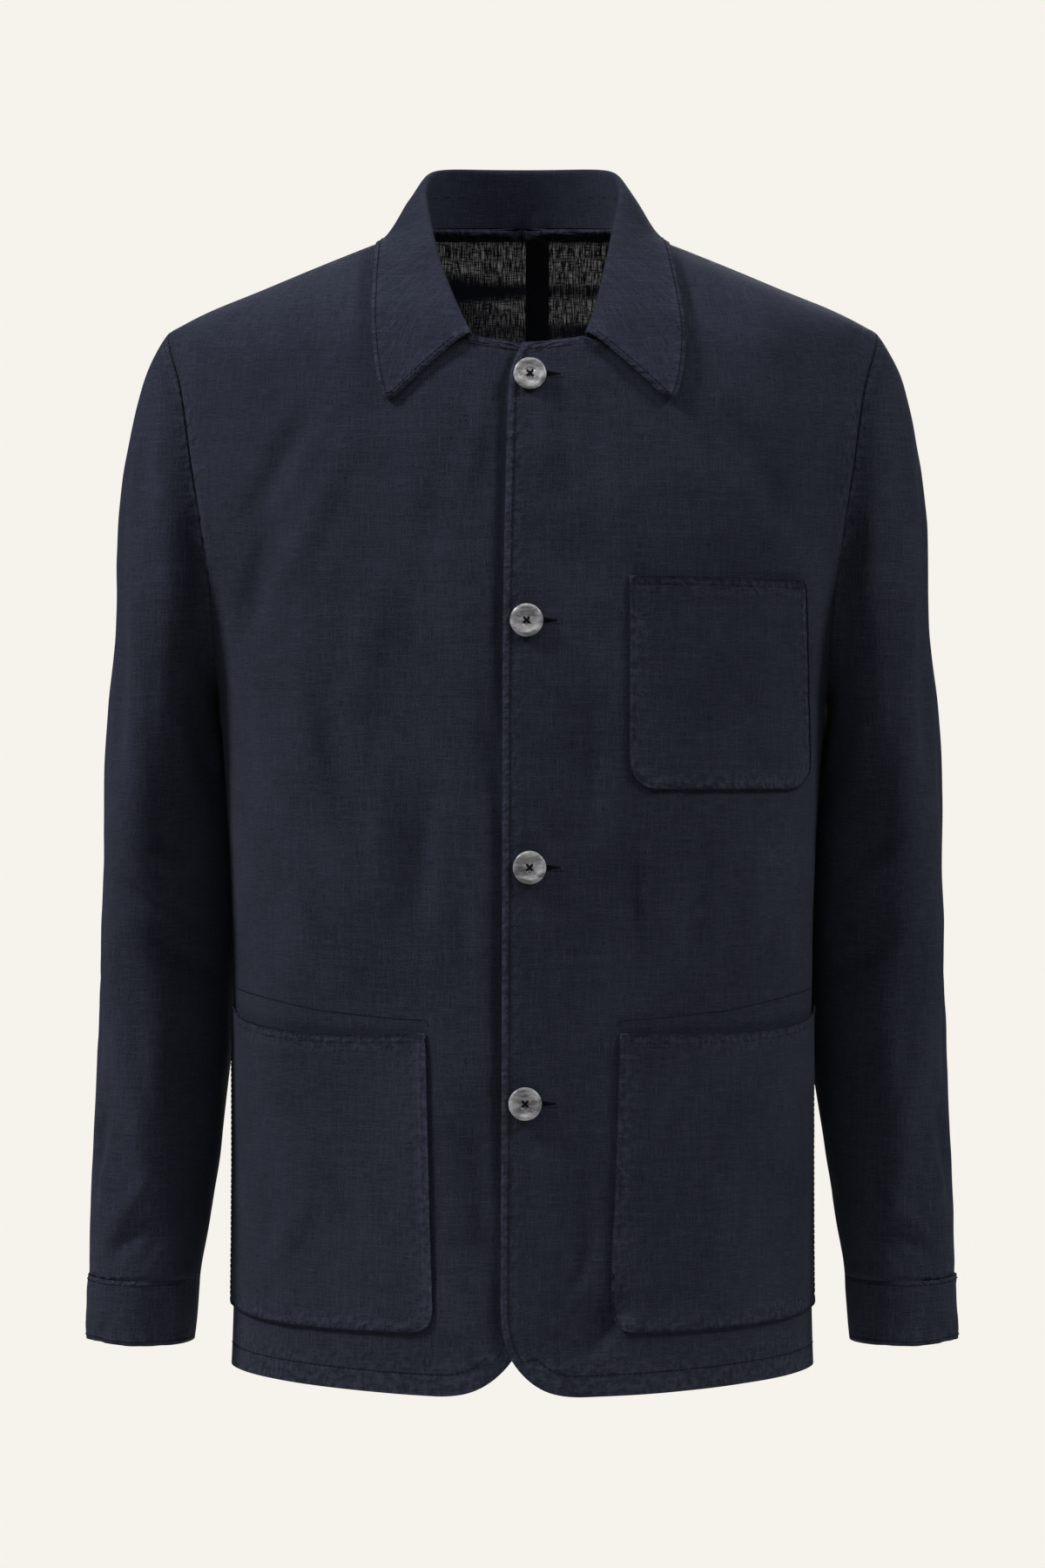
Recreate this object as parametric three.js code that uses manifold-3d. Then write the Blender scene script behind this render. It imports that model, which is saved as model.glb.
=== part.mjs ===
// A work jacket in navy linen: unlined, closed by four buttons, with a chest
// pocket and two wide lower pockets. It is hollow, as it hangs on the shoulders
// of a wearer. Units are millimetres and +Z is up. The front faces -Y, and +X is
// the wearer's left. The origin lies between the two points where the shoulder
// seams meet the neck.
import * as THREE from "three";
import Module from "manifold-3d";

const wasm = await Module();
wasm.setup();

// Driving sizes
const CLOTH = 1.6; // wall of a panel, a pocket or a sleeve
const COLLAR_CLOTH = 1.5; // wall of the collar, two layers pressed together
const SEAM = 0.35; // gap between two pieces where they are sewn
const HEM_Z = -722.6; // lower edge at the side seam
const UNDERARM_Z = -286;
const NECK_X = 74; // half the neck's width, at the shoulder seam
const SHOULDER_Z = -63; // tip of the shoulder
const FRONT_DROP = 9; // how much lower the hem hangs in front than at the side
const BACK_DROP = 5;
const CORNER = 46; // radius of the rounded front corners
const OVERLAP_LIFT = 3; // how far the outer front stands off the form over the inner one

// The torso's sections: half its width at the side, its depth in front of and
// behind the side seams, and how square it is (2 is an ellipse).
const SECTIONS = [
  { z: -740, side: 187.3, front: 134, back: 125, power: 2.2 },
  { z: -690, side: 185.8, front: 133.5, back: 122.5, power: 2.2 },
  { z: -600, side: 185.2, front: 132.5, back: 119, power: 2.2 },
  { z: -510, side: 185.6, front: 131.5, back: 115.5, power: 2.2 },
  { z: -450, side: 186.5, front: 131, back: 114, power: 2.25 },
  { z: -387, side: 189, front: 130, back: 116, power: 2.3 },
  { z: -286, side: 196.8, front: 128, back: 123, power: 2.35 },
  { z: -248, side: 206, front: 126, back: 126, power: 2.3 },
  { z: -201, side: 220, front: 122, back: 128, power: 2.25 },
  { z: -145, side: 229.5, front: 116, back: 126, power: 2.2 },
  { z: -101, side: 229, front: 107, back: 118, power: 2.15 },
  { z: -63, side: 227, front: 92, back: 105, power: 2.1 },
  { z: -50.6, side: 204.4, front: 83, back: 99, power: 2.1 },
  { z: -37.2, side: 171, front: 72, back: 93, power: 2.1 },
  { z: -23.7, side: 139, front: 60, back: 86, power: 2.1 },
  { z: -9.2, side: 103, front: 47, back: 79, power: 2.1 },
  { z: 2.5, side: 74, front: 34, back: 70, power: 2.1 },
  { z: 11, side: 64, front: 28, back: 61, power: 2.1 },
];

// The front edges of the outer front (the wearer's left) and the inner one.
const FRONT_EDGES = [
  { z: -740, outer: -13.5, inner: -4 },
  { z: -650, outer: -13.5, inner: 6 },
  { z: -560, outer: -13, inner: 13 },
  { z: -420, outer: -12.5, inner: 15 },
  { z: -250, outer: -12, inner: 15 },
  { z: -150, outer: -10, inner: 16 },
  { z: -104, outer: -8.8, inner: 17 },
  { z: -92, outer: -7, inner: 17 },
  { z: -79, outer: 0, inner: 16 },
];

// Where each row of a front panel starts above the underarm: up the front edge
// (x is then the edge's own), and from the corner along the neckline.
const FRONT_ROWS = [
  { edge: 1, x: 0, z: -258 },
  { edge: 1, x: 0, z: -222 },
  { edge: 1, x: 0, z: -187 },
  { edge: 1, x: 0, z: -152 },
  { edge: 1, x: 0, z: -118 },
  { edge: 1, x: 0, z: -94 },
  { edge: 1, x: 0, z: -79 },
  { edge: 0, x: 43, z: -74 },
  { edge: 0, x: 61, z: -51 },
  { edge: 0, x: 70, z: -26 },
  { edge: 0, x: 73, z: -8 },
  { edge: 0, x: NECK_X, z: 2.5 },
];

// The same for a back panel: up the centre seam, then along the back neck.
const BACK_ROWS = [
  { x: 0, z: -258 },
  { x: 0, z: -222 },
  { x: 0, z: -182 },
  { x: 0, z: -142 },
  { x: 0, z: -102 },
  { x: 0, z: -62 },
  { x: 0, z: -24 },
  { x: 0, z: 10.5 },
  { x: 30, z: 10 },
  { x: 56, z: 7.6 },
  { x: 69, z: 4.8 },
  { x: NECK_X, z: 2.5 },
];

// How far the armhole reaches in front of and behind the shoulder's ridge.
const ARMHOLE = { front: 57, back: 62, low: 0.12 };

// Heights of the rows above the hem, up to the underarm, closer at the corner.
const LOW_ROWS = [0, 2, 7, 16, 29, 46, 84, 124, 166, 208, 250, 292, 334, 376, 408];
const FRONT_COLUMNS = [0, 0.04, 0.08, 0.125, 0.175, 0.24, 0.32, 0.41, 0.5, 0.6, 0.7, 0.8, 0.9, 1];
const BACK_COLUMNS = [0, 0.1, 0.2, 0.3, 0.4, 0.5, 0.6, 0.7, 0.8, 0.9, 1];

// Soft folds of the torso: a ridge (+) or a trough (-) along a line that leans
// from the vertical. The cloth at the given side and facing (-1 is the front).
const FOLDS = [
  { facing: -1, x: -72, z: -430, lean: 4, long: 230, wide: 26, high: -4 },
  { facing: -1, x: -112, z: -330, lean: -12, long: 260, wide: 34, high: -4 },
  { facing: -1, x: -40, z: -300, lean: 6, long: 300, wide: 30, high: 3 },
  { facing: -1, x: 78, z: -440, lean: -4, long: 220, wide: 26, high: -3.5 },
  { facing: -1, x: 108, z: -200, lean: 20, long: 200, wide: 32, high: -3 },
  { facing: -1, x: 42, z: -660, lean: -24, long: 110, wide: 24, high: -4.5 },
  { facing: -1, x: -48, z: -650, lean: 10, long: 150, wide: 26, high: 3 },
  { facing: -1, x: 0, z: -180, lean: 3, long: 170, wide: 26, high: 2 },
  { facing: 1, x: -84, z: -420, lean: 5, long: 320, wide: 34, high: -5 },
  { facing: 1, x: 88, z: -440, lean: -6, long: 300, wide: 34, high: -5 },
  { facing: 1, x: -30, z: -560, lean: -4, long: 260, wide: 32, high: 4 },
  { facing: 1, x: 46, z: -600, lean: 6, long: 220, wide: 30, high: 4 },
  { facing: 1, x: -120, z: -190, lean: -24, long: 180, wide: 32, high: -4 },
  { facing: 1, x: 124, z: -200, lean: 26, long: 170, wide: 32, high: -4 },
];

// The sleeve's rings. The crest runs down its outer side and the under line
// down its inner side. y is the ring's middle, deep its half depth, twist the
// degrees that its front is turned outward, and blend how far the ring has
// gone from the armhole's shape to its own oval.
const SLEEVE_ROWS = [
  { along: 0, crestX: 227.3, crestZ: -63.2, underX: 197.3, underZ: -286, y: 2.5, deep: 60, twist: 0, blend: 0 },
  { along: 1, crestX: 237.5, crestZ: -74, underX: 199.9, underZ: -290, y: 3, deep: 64, twist: 0, blend: 0.4 },
  { along: 2, crestX: 245, crestZ: -92, underX: 200.4, underZ: -297, y: 4, deep: 68, twist: 1, blend: 0.8 },
  { along: 3, crestX: 250, crestZ: -117, underX: 200.6, underZ: -304, y: 6, deep: 71, twist: 2, blend: 1 },
  { along: 4, crestX: 253.5, crestZ: -150, underX: 200.2, underZ: -313, y: 9, deep: 73, twist: 4, blend: 1 },
  { along: 5, crestX: 255, crestZ: -190, underX: 199, underZ: -325, y: 13, deep: 74, twist: 6, blend: 1 },
  { along: 6, crestX: 256.9, crestZ: -236, underX: 197, underZ: -342, y: 17, deep: 74, twist: 8, blend: 1 },
  { along: 7, crestX: 259.1, crestZ: -284, underX: 195, underZ: -364, y: 21, deep: 73, twist: 10, blend: 1 },
  { along: 8, crestX: 261.7, crestZ: -332, underX: 192.5, underZ: -392, y: 25, deep: 72, twist: 12, blend: 1 },
  { along: 9, crestX: 264.4, crestZ: -378, underX: 190, underZ: -424, y: 28, deep: 70, twist: 13, blend: 1 },
  { along: 10, crestX: 267.6, crestZ: -422, underX: 188.5, underZ: -456, y: 28, deep: 68, twist: 13, blend: 1 },
  { along: 11, crestX: 270.9, crestZ: -466, underX: 188.5, underZ: -488, y: 25, deep: 66, twist: 12, blend: 1 },
  { along: 12, crestX: 272.2, crestZ: -508, underX: 189.5, underZ: -522, y: 19, deep: 64, twist: 11, blend: 1 },
  { along: 13, crestX: 273.4, crestZ: -550, underX: 192.5, underZ: -558, y: 11, deep: 61, twist: 10, blend: 1 },
  { along: 14, crestX: 274.5, crestZ: -592, underX: 197, underZ: -596, y: 2, deep: 58, twist: 9, blend: 1 },
  { along: 15, crestX: 275, crestZ: -632, underX: 202, underZ: -634, y: -8, deep: 54, twist: 8, blend: 1 },
  { along: 16, crestX: 275.2, crestZ: -664.6, underX: 206.8, underZ: -667, y: -17, deep: 50, twist: 7, blend: 1 },
];
const CUFF_ROWS = [
  { along: 0, crestX: 276.2, crestZ: -665, underX: 206.6, underZ: -667.5, y: -17.3, deep: 50.5, twist: 7 },
  { along: 1, crestX: 276.6, crestZ: -678.5, underX: 207.2, underZ: -681.5, y: -20.5, deep: 50, twist: 7 },
  { along: 2, crestX: 276.7, crestZ: -691.5, underX: 208, underZ: -695, y: -23.5, deep: 49.5, twist: 7 },
  { along: 3, crestX: 276.3, crestZ: -703.5, underX: 208.8, underZ: -707.5, y: -26.5, deep: 49, twist: 7 },
];
const SLEEVE_AROUND = 24;

// Soft folds of a sleeve, by degrees round it (0 at the crest, 90 in front) and
// by ring along it.
const SLEEVE_FOLDS = [
  { turn: 62, along: 5.2, wide: 20, long: 3.6, high: -4.5 },
  { turn: 28, along: 6.4, wide: 18, long: 3.2, high: 2.5 },
  { turn: 118, along: 8.2, wide: 22, long: 2.4, high: -4 },
  { turn: 78, along: 10.8, wide: 26, long: 1.3, high: -3.5 },
  { turn: 48, along: 13.4, wide: 24, long: 2.2, high: -2.5 },
  { turn: 300, along: 6, wide: 22, long: 3.2, high: -4.5 },
  { turn: 252, along: 9.6, wide: 26, long: 1.6, high: 3 },
  { turn: 282, along: 13, wide: 24, long: 2, high: -3 },
];

// The collar from the centre back (s 0) to its front end (s 1): the line where
// it rolls over, its free edge, and the height of the band that it stands on.
const COLLAR = [
  { s: 0, seam: 0, rollX: 0, rollY: 54, rollZ: 48.5, edgeX: 0, edgeY: 76, edgeZ: 4 },
  { s: 0.14, seam: 0.14, rollX: 24, rollY: 52.5, rollZ: 48.5, edgeX: 33, edgeY: 73, edgeZ: 3.5 },
  { s: 0.26, seam: 0.26, rollX: 46, rollY: 42, rollZ: 47.5, edgeX: 62, edgeY: 58, edgeZ: 2 },
  { s: 0.37, seam: 0.37, rollX: 58.5, rollY: 25, rollZ: 43.5, edgeX: 82, edgeY: 34, edgeZ: -1 },
  { s: 0.5, seam: 0.475, rollX: 62.5, rollY: 0, rollZ: 30, edgeX: 93, edgeY: -2, edgeZ: -8 },
  { s: 0.62, seam: 0.55, rollX: 58.5, rollY: -29, rollZ: 8, edgeX: 94.5, edgeY: -36, edgeZ: -24 },
  { s: 0.74, seam: 0.645, rollX: 53, rollY: -56, rollZ: -18, edgeX: 96.5, edgeY: -64, edgeZ: -46 },
  { s: 0.85, seam: 0.77, rollX: 46, rollY: -78, rollZ: -43, edgeX: 98.5, edgeY: -80, edgeZ: -72 },
  { s: 0.93, seam: 0.88, rollX: 40, rollY: -90.5, rollZ: -60, edgeX: 96.5, edgeY: -88, edgeZ: -97 },
  { s: 1, seam: 1, rollX: 35, rollY: -99, rollZ: -71.5, edgeX: 90.5, edgeY: -92, edgeZ: -119 },
];
const COLLAR_SKEW = 4.5; // the front ends lie this far towards the wearer's left
const COLLAR_STEPS = 17; // steps in each half
const ROLL_RADIUS = 2.7; // of the fold at the roll line
const BAND_SHARE = 0.56; // share of the stand that is the sewn-on band
const LEAF_GAP = 1.5; // between the stand and the leaf that hangs over it
const LEAF_CLEAR = 2.3; // least height of the leaf's outer face above the torso

// Patch pockets, by the x of their sides at the top and the bottom, and by the
// heights of their ends. The top and the bottom edge sag between those.
const CHEST_POCKET = {
  name: "chest_pocket",
  inner: [66.5, 66],
  outer: [177, 181],
  topInner: -224,
  topOuter: -226,
  topSag: 0,
  bottomInner: -356,
  bottomOuter: -356,
  bottomSag: 0,
  cornerInner: 17,
  cornerOuter: 15,
  pouch: 1.4,
  columns: 12,
};
const LOWER_POCKET = {
  inner: [60.5, 54.5],
  outer: [185.5, 186],
  topInner: -507,
  topOuter: -494,
  topSag: 3,
  bottomInner: -691.5,
  bottomOuter: -681.5,
  bottomSag: 1.2,
  cornerInner: 13,
  cornerOuter: 0,
  pouch: 3,
  columns: 16,
};
const POCKET_CLEAR = 1.1; // between a pocket and the panel under it
const CORNER_ROWS = [0, 1, 4, 9, 17]; // heights of a pocket's lowest rows
const UPPER_ROWS = 5; // rows above those, up to its mouth

// The buttons, on the centre front line.
const BUTTON_RADIUS = 11.2;
const BUTTON_THICK = 3.6;
const BUTTON_CLEAR = 0.5;
const BUTTON_NEARER = 0.35; // how far its thread draws it back to the cloth
const BUTTONS = [
  { name: "button_1", x: 4.6, z: -99.5 },
  { name: "button_2", x: 2.5, z: -252 },
  { name: "button_3", x: 4.3, z: -404.5 },
  { name: "button_4", x: 1.6, z: -550 },
];

// The strip that binds the centre back seam on the inside.
const BINDING = { from: 2, to: 17.5, wall: 1.1, clear: 0.7, first: 1 };
const NAPE_ROW = LOW_ROWS.length + 8; // the row that ends the centre back seam

const linen = new THREE.MeshStandardMaterial({ color: 0x1e2330, roughness: 0.93, metalness: 0 });
const shadeLinen = new THREE.MeshStandardMaterial({ color: 0x14161c, roughness: 0.9, metalness: 0 });
const horn = new THREE.MeshStandardMaterial({ color: 0x8d8d90, roughness: 0.32, metalness: 0 });

const radians = THREE.MathUtils.degToRad;
const { clamp, lerp, smoothstep } = THREE.MathUtils;

// Smooth values between the rows of a table, ordered by one of its columns.
function between(rows, by, at) {
  let i = 0;
  while (i < rows.length - 2 && at > rows[i + 1][by]) i += 1;
  const before = rows[Math.max(i - 1, 0)];
  const from = rows[i];
  const to = rows[i + 1];
  const after = rows[Math.min(i + 2, rows.length - 1)];
  const span = to[by] - from[by];
  const t = clamp((at - from[by]) / span, 0, 1);
  const value = {};
  for (const column of Object.keys(from)) {
    const rise = (a, b) => (a === b ? 0 : (b[column] - a[column]) / (b[by] - a[by]));
    const startSlope = before === from ? rise(from, to) : rise(before, to);
    const endSlope = after === to ? rise(from, to) : rise(from, after);
    value[column] =
      lerp(from[column], to[column], t * t * (3 - 2 * t)) +
      span * t * (1 - t) * (startSlope * (1 - t) - endSlope * t);
  }
  return value;
}

// The direction away from the wearer at a point of the torso or collar.
function outward(p) {
  const spine = new THREE.Vector3(clamp(p.x, -120, 120), 0, Math.min(p.z, -120));
  return p.clone().sub(spine).normalize();
}

// A bump of height 1 in the middle, falling smoothly to nothing at 1.
function swell(distance) {
  const d = Math.min(Math.abs(distance), 1);
  return (1 - d * d) ** 2;
}

// Height of the torso's folds at a place on the front (-1) or the back (1).
function foldsAt(x, z, facing) {
  let height = 0;
  for (const fold of FOLDS) {
    if (fold.facing !== facing) continue;
    const lean = radians(fold.lean);
    const dx = x - fold.x;
    const dz = z - fold.z;
    const across = dx * Math.cos(lean) + dz * Math.sin(lean);
    const along = dz * Math.cos(lean) - dx * Math.sin(lean);
    height += fold.high * swell(across / fold.wide) * swell(along / (fold.long / 2));
  }
  return height;
}

// A point of the torso's form at a given x and z, on the front or the back.
function formPoint(x, z, facing) {
  const section = between(SECTIONS, "z", z);
  const share = Math.min(Math.abs(x) / section.side, 1);
  const depth = facing < 0 ? section.front : section.back;
  const y = facing * depth * (1 - share ** section.power) ** (1 / section.power);
  return new THREE.Vector3(x, y, z);
}

// The same point with the folds in it, moved out by a distance.
function clothPoint(x, z, facing, out = 0) {
  const p = formPoint(x, z, facing);
  return p.addScaledVector(outward(p), foldsAt(x, z, facing) + out);
}

// Solid wall between two grids of points. A ring closes on itself.
function wall(outer, inner, ring = false) {
  const rows = outer.length;
  const columns = outer[0].length;
  const inside = rows * columns;
  const at = (r, c) => r * columns + (c % columns);
  const cells = ring ? columns : columns - 1;
  const faces = [];
  const quad = (a, b, c, d) => faces.push(a, b, c, a, c, d);
  for (let r = 0; r < rows - 1; r += 1) {
    for (let c = 0; c < cells; c += 1) {
      quad(at(r, c), at(r, c + 1), at(r + 1, c + 1), at(r + 1, c));
      quad(inside + at(r, c), inside + at(r + 1, c), inside + at(r + 1, c + 1), inside + at(r, c + 1));
    }
  }
  const top = rows - 1;
  for (let c = 0; c < cells; c += 1) {
    quad(at(0, c + 1), at(0, c), inside + at(0, c), inside + at(0, c + 1));
    quad(at(top, c), at(top, c + 1), inside + at(top, c + 1), inside + at(top, c));
  }
  if (!ring) {
    const last = columns - 1;
    for (let r = 0; r < top; r += 1) {
      quad(at(r, 0), at(r + 1, 0), inside + at(r + 1, 0), inside + at(r, 0));
      quad(at(r + 1, last), at(r, last), inside + at(r, last), inside + at(r + 1, last));
    }
  }
  const points = [...outer.flat(), ...inner.flat()];
  return facingOut(points, faces);
}

// A geometry from points and triangles, turned so that its faces point out.
function facingOut(points, faces) {
  let volume = 0;
  for (let i = 0; i < faces.length; i += 3) {
    const [a, b, c] = [points[faces[i]], points[faces[i + 1]], points[faces[i + 2]]];
    volume += a.dot(b.clone().cross(c));
  }
  const geometry = new THREE.BufferGeometry().setFromPoints(points);
  geometry.setIndex(volume < 0 ? [...faces].reverse() : faces);
  geometry.computeVertexNormals();
  return geometry;
}

function piece(name, geometry, material) {
  const mesh = new THREE.Mesh(geometry, material);
  mesh.name = name;
  return mesh;
}

// A wall whose inner face lies a thickness inside the outer one, along the
// torso's own outward direction, so that pieces sewn together meet squarely.
function torsoWall(outer, thickness) {
  const inner = outer.map((row) => row.map((p) => p.clone().addScaledVector(outward(p), -thickness)));
  return wall(outer, inner);
}

// A point of the armhole, by degrees from the shoulder tip down its front or
// its back (facing -1 or 1) to the underarm at 180. It lies on the form.
function armholePoint(degrees, facing) {
  const turn = radians(degrees);
  const middle = (SHOULDER_Z + UNDERARM_Z) / 2;
  const half = (SHOULDER_Z - UNDERARM_Z) / 2;
  const reach = facing < 0 ? ARMHOLE.front : ARMHOLE.back;
  const z = middle + half * Math.cos(turn);
  const y = facing * reach * Math.sin(turn) * (1 - ARMHOLE.low * Math.cos(turn));
  const section = between(SECTIONS, "z", z);
  const depth = facing < 0 ? section.front : section.back;
  const share = Math.min(Math.abs(y) / depth, 1);
  return new THREE.Vector3(section.side * (1 - share ** section.power) ** (1 / section.power), y, z);
}

// The ridge of the shoulder: its height at a distance from the middle.
function ridgeZ(x) {
  const ridge = SECTIONS.filter((s) => s.z >= SHOULDER_Z).map((s) => ({ side: s.side, z: s.z }));
  return between(ridge.reverse(), "side", Math.abs(x)).z;
}

// One row of points of a torso panel, from its start to its end, both given by
// x and z, on the wearer's left. They are spaced evenly round the torso.
function panelRow(start, end, facing, columns, place) {
  const angleAt = (p) => Math.asin(clamp(p.x / between(SECTIONS, "z", p.z).side, -1, 1));
  const [startAngle, endAngle] = [angleAt(start), angleAt(end)];
  const [from, to] = [Math.sin(startAngle), Math.sin(endAngle)];
  const [startBelow, endBelow] = [start, end].map((p) => ridgeZ(p.x) - p.z);
  const roundness = to - from > 0.01 ? clamp(startBelow / 60, 0, 1) : 0;
  return columns.map((t) => {
    const swing = Math.sin(lerp(startAngle, endAngle, t));
    const share = roundness > 0 ? lerp(t, (swing - from) / (to - from), roundness) : t;
    const x = lerp(start.x, end.x, share);
    const onTorso = start.z < UNDERARM_Z + 1;
    const z = onTorso ? lerp(start.z, end.z, share) : ridgeZ(x) - lerp(startBelow, endBelow, share);
    const onRidge = Math.max(startBelow, endBelow) < 1;
    return onRidge ? new THREE.Vector3(place(x, z, facing).x, 0, z) : place(x, z, facing);
  });
}

// How far a rounded corner is cut back at a height above its lower edge.
function cornerCut(height, radius) {
  const rise = radius - Math.min(height, radius);
  return radius - Math.sqrt(radius ** 2 - rise ** 2);
}

// Where the hem and the rows above it hang at an x: lower in the middle.
function hangZ(height, x, facing) {
  const share = Math.min(Math.abs(x) / 187.3, 1);
  const drop = (facing < 0 ? FRONT_DROP : BACK_DROP) * (1 - share ** 2);
  const full = UNDERARM_Z - HEM_Z;
  return HEM_Z + height - drop * (1 - height / full);
}

// The points of a front panel. side is 1 for the wearer's left, which lies outside, and -1
// for the right. An outer front is lifted where it covers the inner one.
function frontPanel(side) {
  const outside = side > 0;
  const edgeAt = (z) => side * between(FRONT_EDGES, "z", z)[outside ? "outer" : "inner"];
  const place = (x, z) => {
    const lift = outside ? OVERLAP_LIFT * (1 - smoothstep(x, 20, 44)) : 0;
    return clothPoint(side * x, z, -1, lift);
  };
  const rows = LOW_ROWS.map((height) => {
    const startX = edgeAt(HEM_Z + height) + cornerCut(height, CORNER);
    const endX = between(SECTIONS, "z", HEM_Z + height).side;
    const start = new THREE.Vector3(startX, 0, HEM_Z + height);
    const end = new THREE.Vector3(endX, 0, HEM_Z + height);
    const hang = (x, z) => place(x, hangZ(height, x, -1));
    return panelRow(start, end, -1, FRONT_COLUMNS, hang);
  });
  rows.push(
    panelRow(
      new THREE.Vector3(edgeAt(UNDERARM_Z), 0, UNDERARM_Z),
      armholePoint(180, -1),
      -1,
      FRONT_COLUMNS,
      place,
    ),
  );
  FRONT_ROWS.forEach((row, i) => {
    const start = new THREE.Vector3(row.edge ? edgeAt(row.z) : row.x + side * collarSkew(row.z), 0, row.z);
    const end = armholePoint(180 - ((i + 1) * 180) / FRONT_ROWS.length, -1);
    rows.push(panelRow(start, end, -1, FRONT_COLUMNS, place));
  });
  return rows;
}

// How far the neckline lies towards the wearer's left at a height.
function collarSkew(z) {
  return COLLAR_SKEW * (1 - smoothstep(z, -95, -5));
}

// The points of a back panel, on the wearer's left (1) or right (-1) of the centre seam.
function backPanel(side) {
  const place = (x, z) => clothPoint(side * x, z, 1);
  const rows = LOW_ROWS.map((height) => {
    const start = new THREE.Vector3(SEAM / 2, 0, HEM_Z + height);
    const end = new THREE.Vector3(between(SECTIONS, "z", HEM_Z + height).side, 0, HEM_Z + height);
    const hang = (x, z) => place(x, hangZ(height, x, 1));
    return panelRow(start, end, 1, BACK_COLUMNS, hang);
  });
  const middle = new THREE.Vector3(SEAM / 2, 0, UNDERARM_Z);
  rows.push(panelRow(middle, armholePoint(180, 1), 1, BACK_COLUMNS, place));
  BACK_ROWS.forEach((row, i) => {
    const start = new THREE.Vector3(Math.max(row.x, SEAM / 2), 0, row.z);
    const end = armholePoint(180 - ((i + 1) * 180) / BACK_ROWS.length, 1);
    rows.push(panelRow(start, end, 1, BACK_COLUMNS, place));
  });
  // The panel stands back from the side and shoulder seams by the seam's gap.
  for (const row of rows) for (const p of row) p.y += SEAM;
  return rows;
}

// A point of a sleeve or cuff, by ring and by degrees round it.
function sleevePoint(rows, along, degrees) {
  const row = between(rows, "along", along);
  const turn = radians(degrees);
  const twist = radians(row.twist);
  const [sin, cos] = [Math.sin(turn), Math.cos(turn)];
  const half = { x: (row.crestX - row.underX) / 2, z: (row.crestZ - row.underZ) / 2 };
  const fold = rows === SLEEVE_ROWS ? sleeveFolds(along, degrees) : 0;
  const reach = 1 + fold / Math.hypot(half.x, half.z, row.deep);
  const side = sin * Math.sin(twist) * row.deep;
  const oval = new THREE.Vector3(
    (row.crestX + row.underX) / 2 + half.x * cos * reach + side * reach,
    row.y - row.deep * sin * Math.cos(twist) * reach,
    (row.crestZ + row.underZ) / 2 + half.z * cos * reach,
  );
  if (rows !== SLEEVE_ROWS || row.blend >= 1) return oval;
  const facing = sin >= 0 ? -1 : 1;
  const around = degrees > 180 ? 360 - degrees : degrees;
  const hole = armholePoint(around, facing);
  hole.x += 2.8 * SEAM;
  return hole.lerp(oval, clamp(row.blend, 0, 1));
}

function sleeveFolds(along, degrees) {
  let height = 0;
  for (const fold of SLEEVE_FOLDS) {
    const off = Math.abs(((degrees - fold.turn + 540) % 360) - 180);
    height += fold.high * swell(off / fold.wide) * swell((along - fold.along) / fold.long);
  }
  return height;
}

// A tube through rings, with its wall laid inside along the surface's normal.
function tube(rows, side) {
  const STEP = 0.01;
  const outer = [];
  const inner = [];
  for (const { along } of rows) {
    const ring = [];
    const lining = [];
    for (let i = 0; i < SLEEVE_AROUND; i += 1) {
      const degrees = (i * 360) / SLEEVE_AROUND;
      const p = sleevePoint(rows, along, degrees);
      const ahead = sleevePoint(rows, Math.min(along + STEP, rows.at(-1).along), degrees);
      const behind = sleevePoint(rows, Math.max(along - STEP, 0), degrees);
      const onward = sleevePoint(rows, along, degrees + 1).sub(sleevePoint(rows, along, degrees - 1));
      const normal = ahead.sub(behind).cross(onward).normalize();
      const middle = sleevePoint(rows, along, 0).add(sleevePoint(rows, along, 180)).multiplyScalar(0.5);
      const towards = normal.dot(middle.sub(p)) > 0 ? 1 : -1;
      ring.push(p);
      lining.push(p.clone().addScaledVector(normal, towards * CLOTH));
    }
    outer.push(ring);
    inner.push(lining);
  }
  for (const p of [...outer.flat(), ...inner.flat()]) p.x *= side;
  return wall(outer, inner, true);
}

// The neck seam from the centre back (0) to the collar's front end (1).
const NECK_PATH = [
  { s: 0, x: 0, z: 10.5 },
  { s: 0.16, x: 30, z: 10 },
  { s: 0.31, x: 56, z: 7.6 },
  { s: 0.39, x: 69, z: 4.8 },
  { s: 0.46, x: NECK_X, z: 2.5 },
  { s: 0.54, x: 73, z: -8 },
  { s: 0.66, x: 70, z: -26 },
  { s: 0.82, x: 61, z: -51 },
  { s: 1, x: 43, z: -74 },
];
function neckPoint(s) {
  const { x, z } = between(NECK_PATH, "s", s);
  const facing = s <= 0.46 ? 1 : -1;
  return formPoint(Math.min(x, between(SECTIONS, "z", z).side), z, facing);
}

// Moves a point out until a point the given distance inside it is clear of the torso.
function clearOf(p, distance) {
  const STEP = 0.2;
  const moved = p.clone();
  for (let i = 0; i < 200; i += 1) {
    const probe = moved.clone().addScaledVector(outward(moved), -distance);
    const section = between(SECTIONS, "z", probe.z);
    const depth = probe.y < 0 ? section.front : section.back;
    const inside = (Math.abs(probe.x) / section.side) ** 2.2 + (Math.abs(probe.y) / depth) ** 2.2;
    if (inside >= 1 || probe.z > 11) break;
    moved.addScaledVector(outward(moved), STEP);
  }
  return moved;
}

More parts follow.
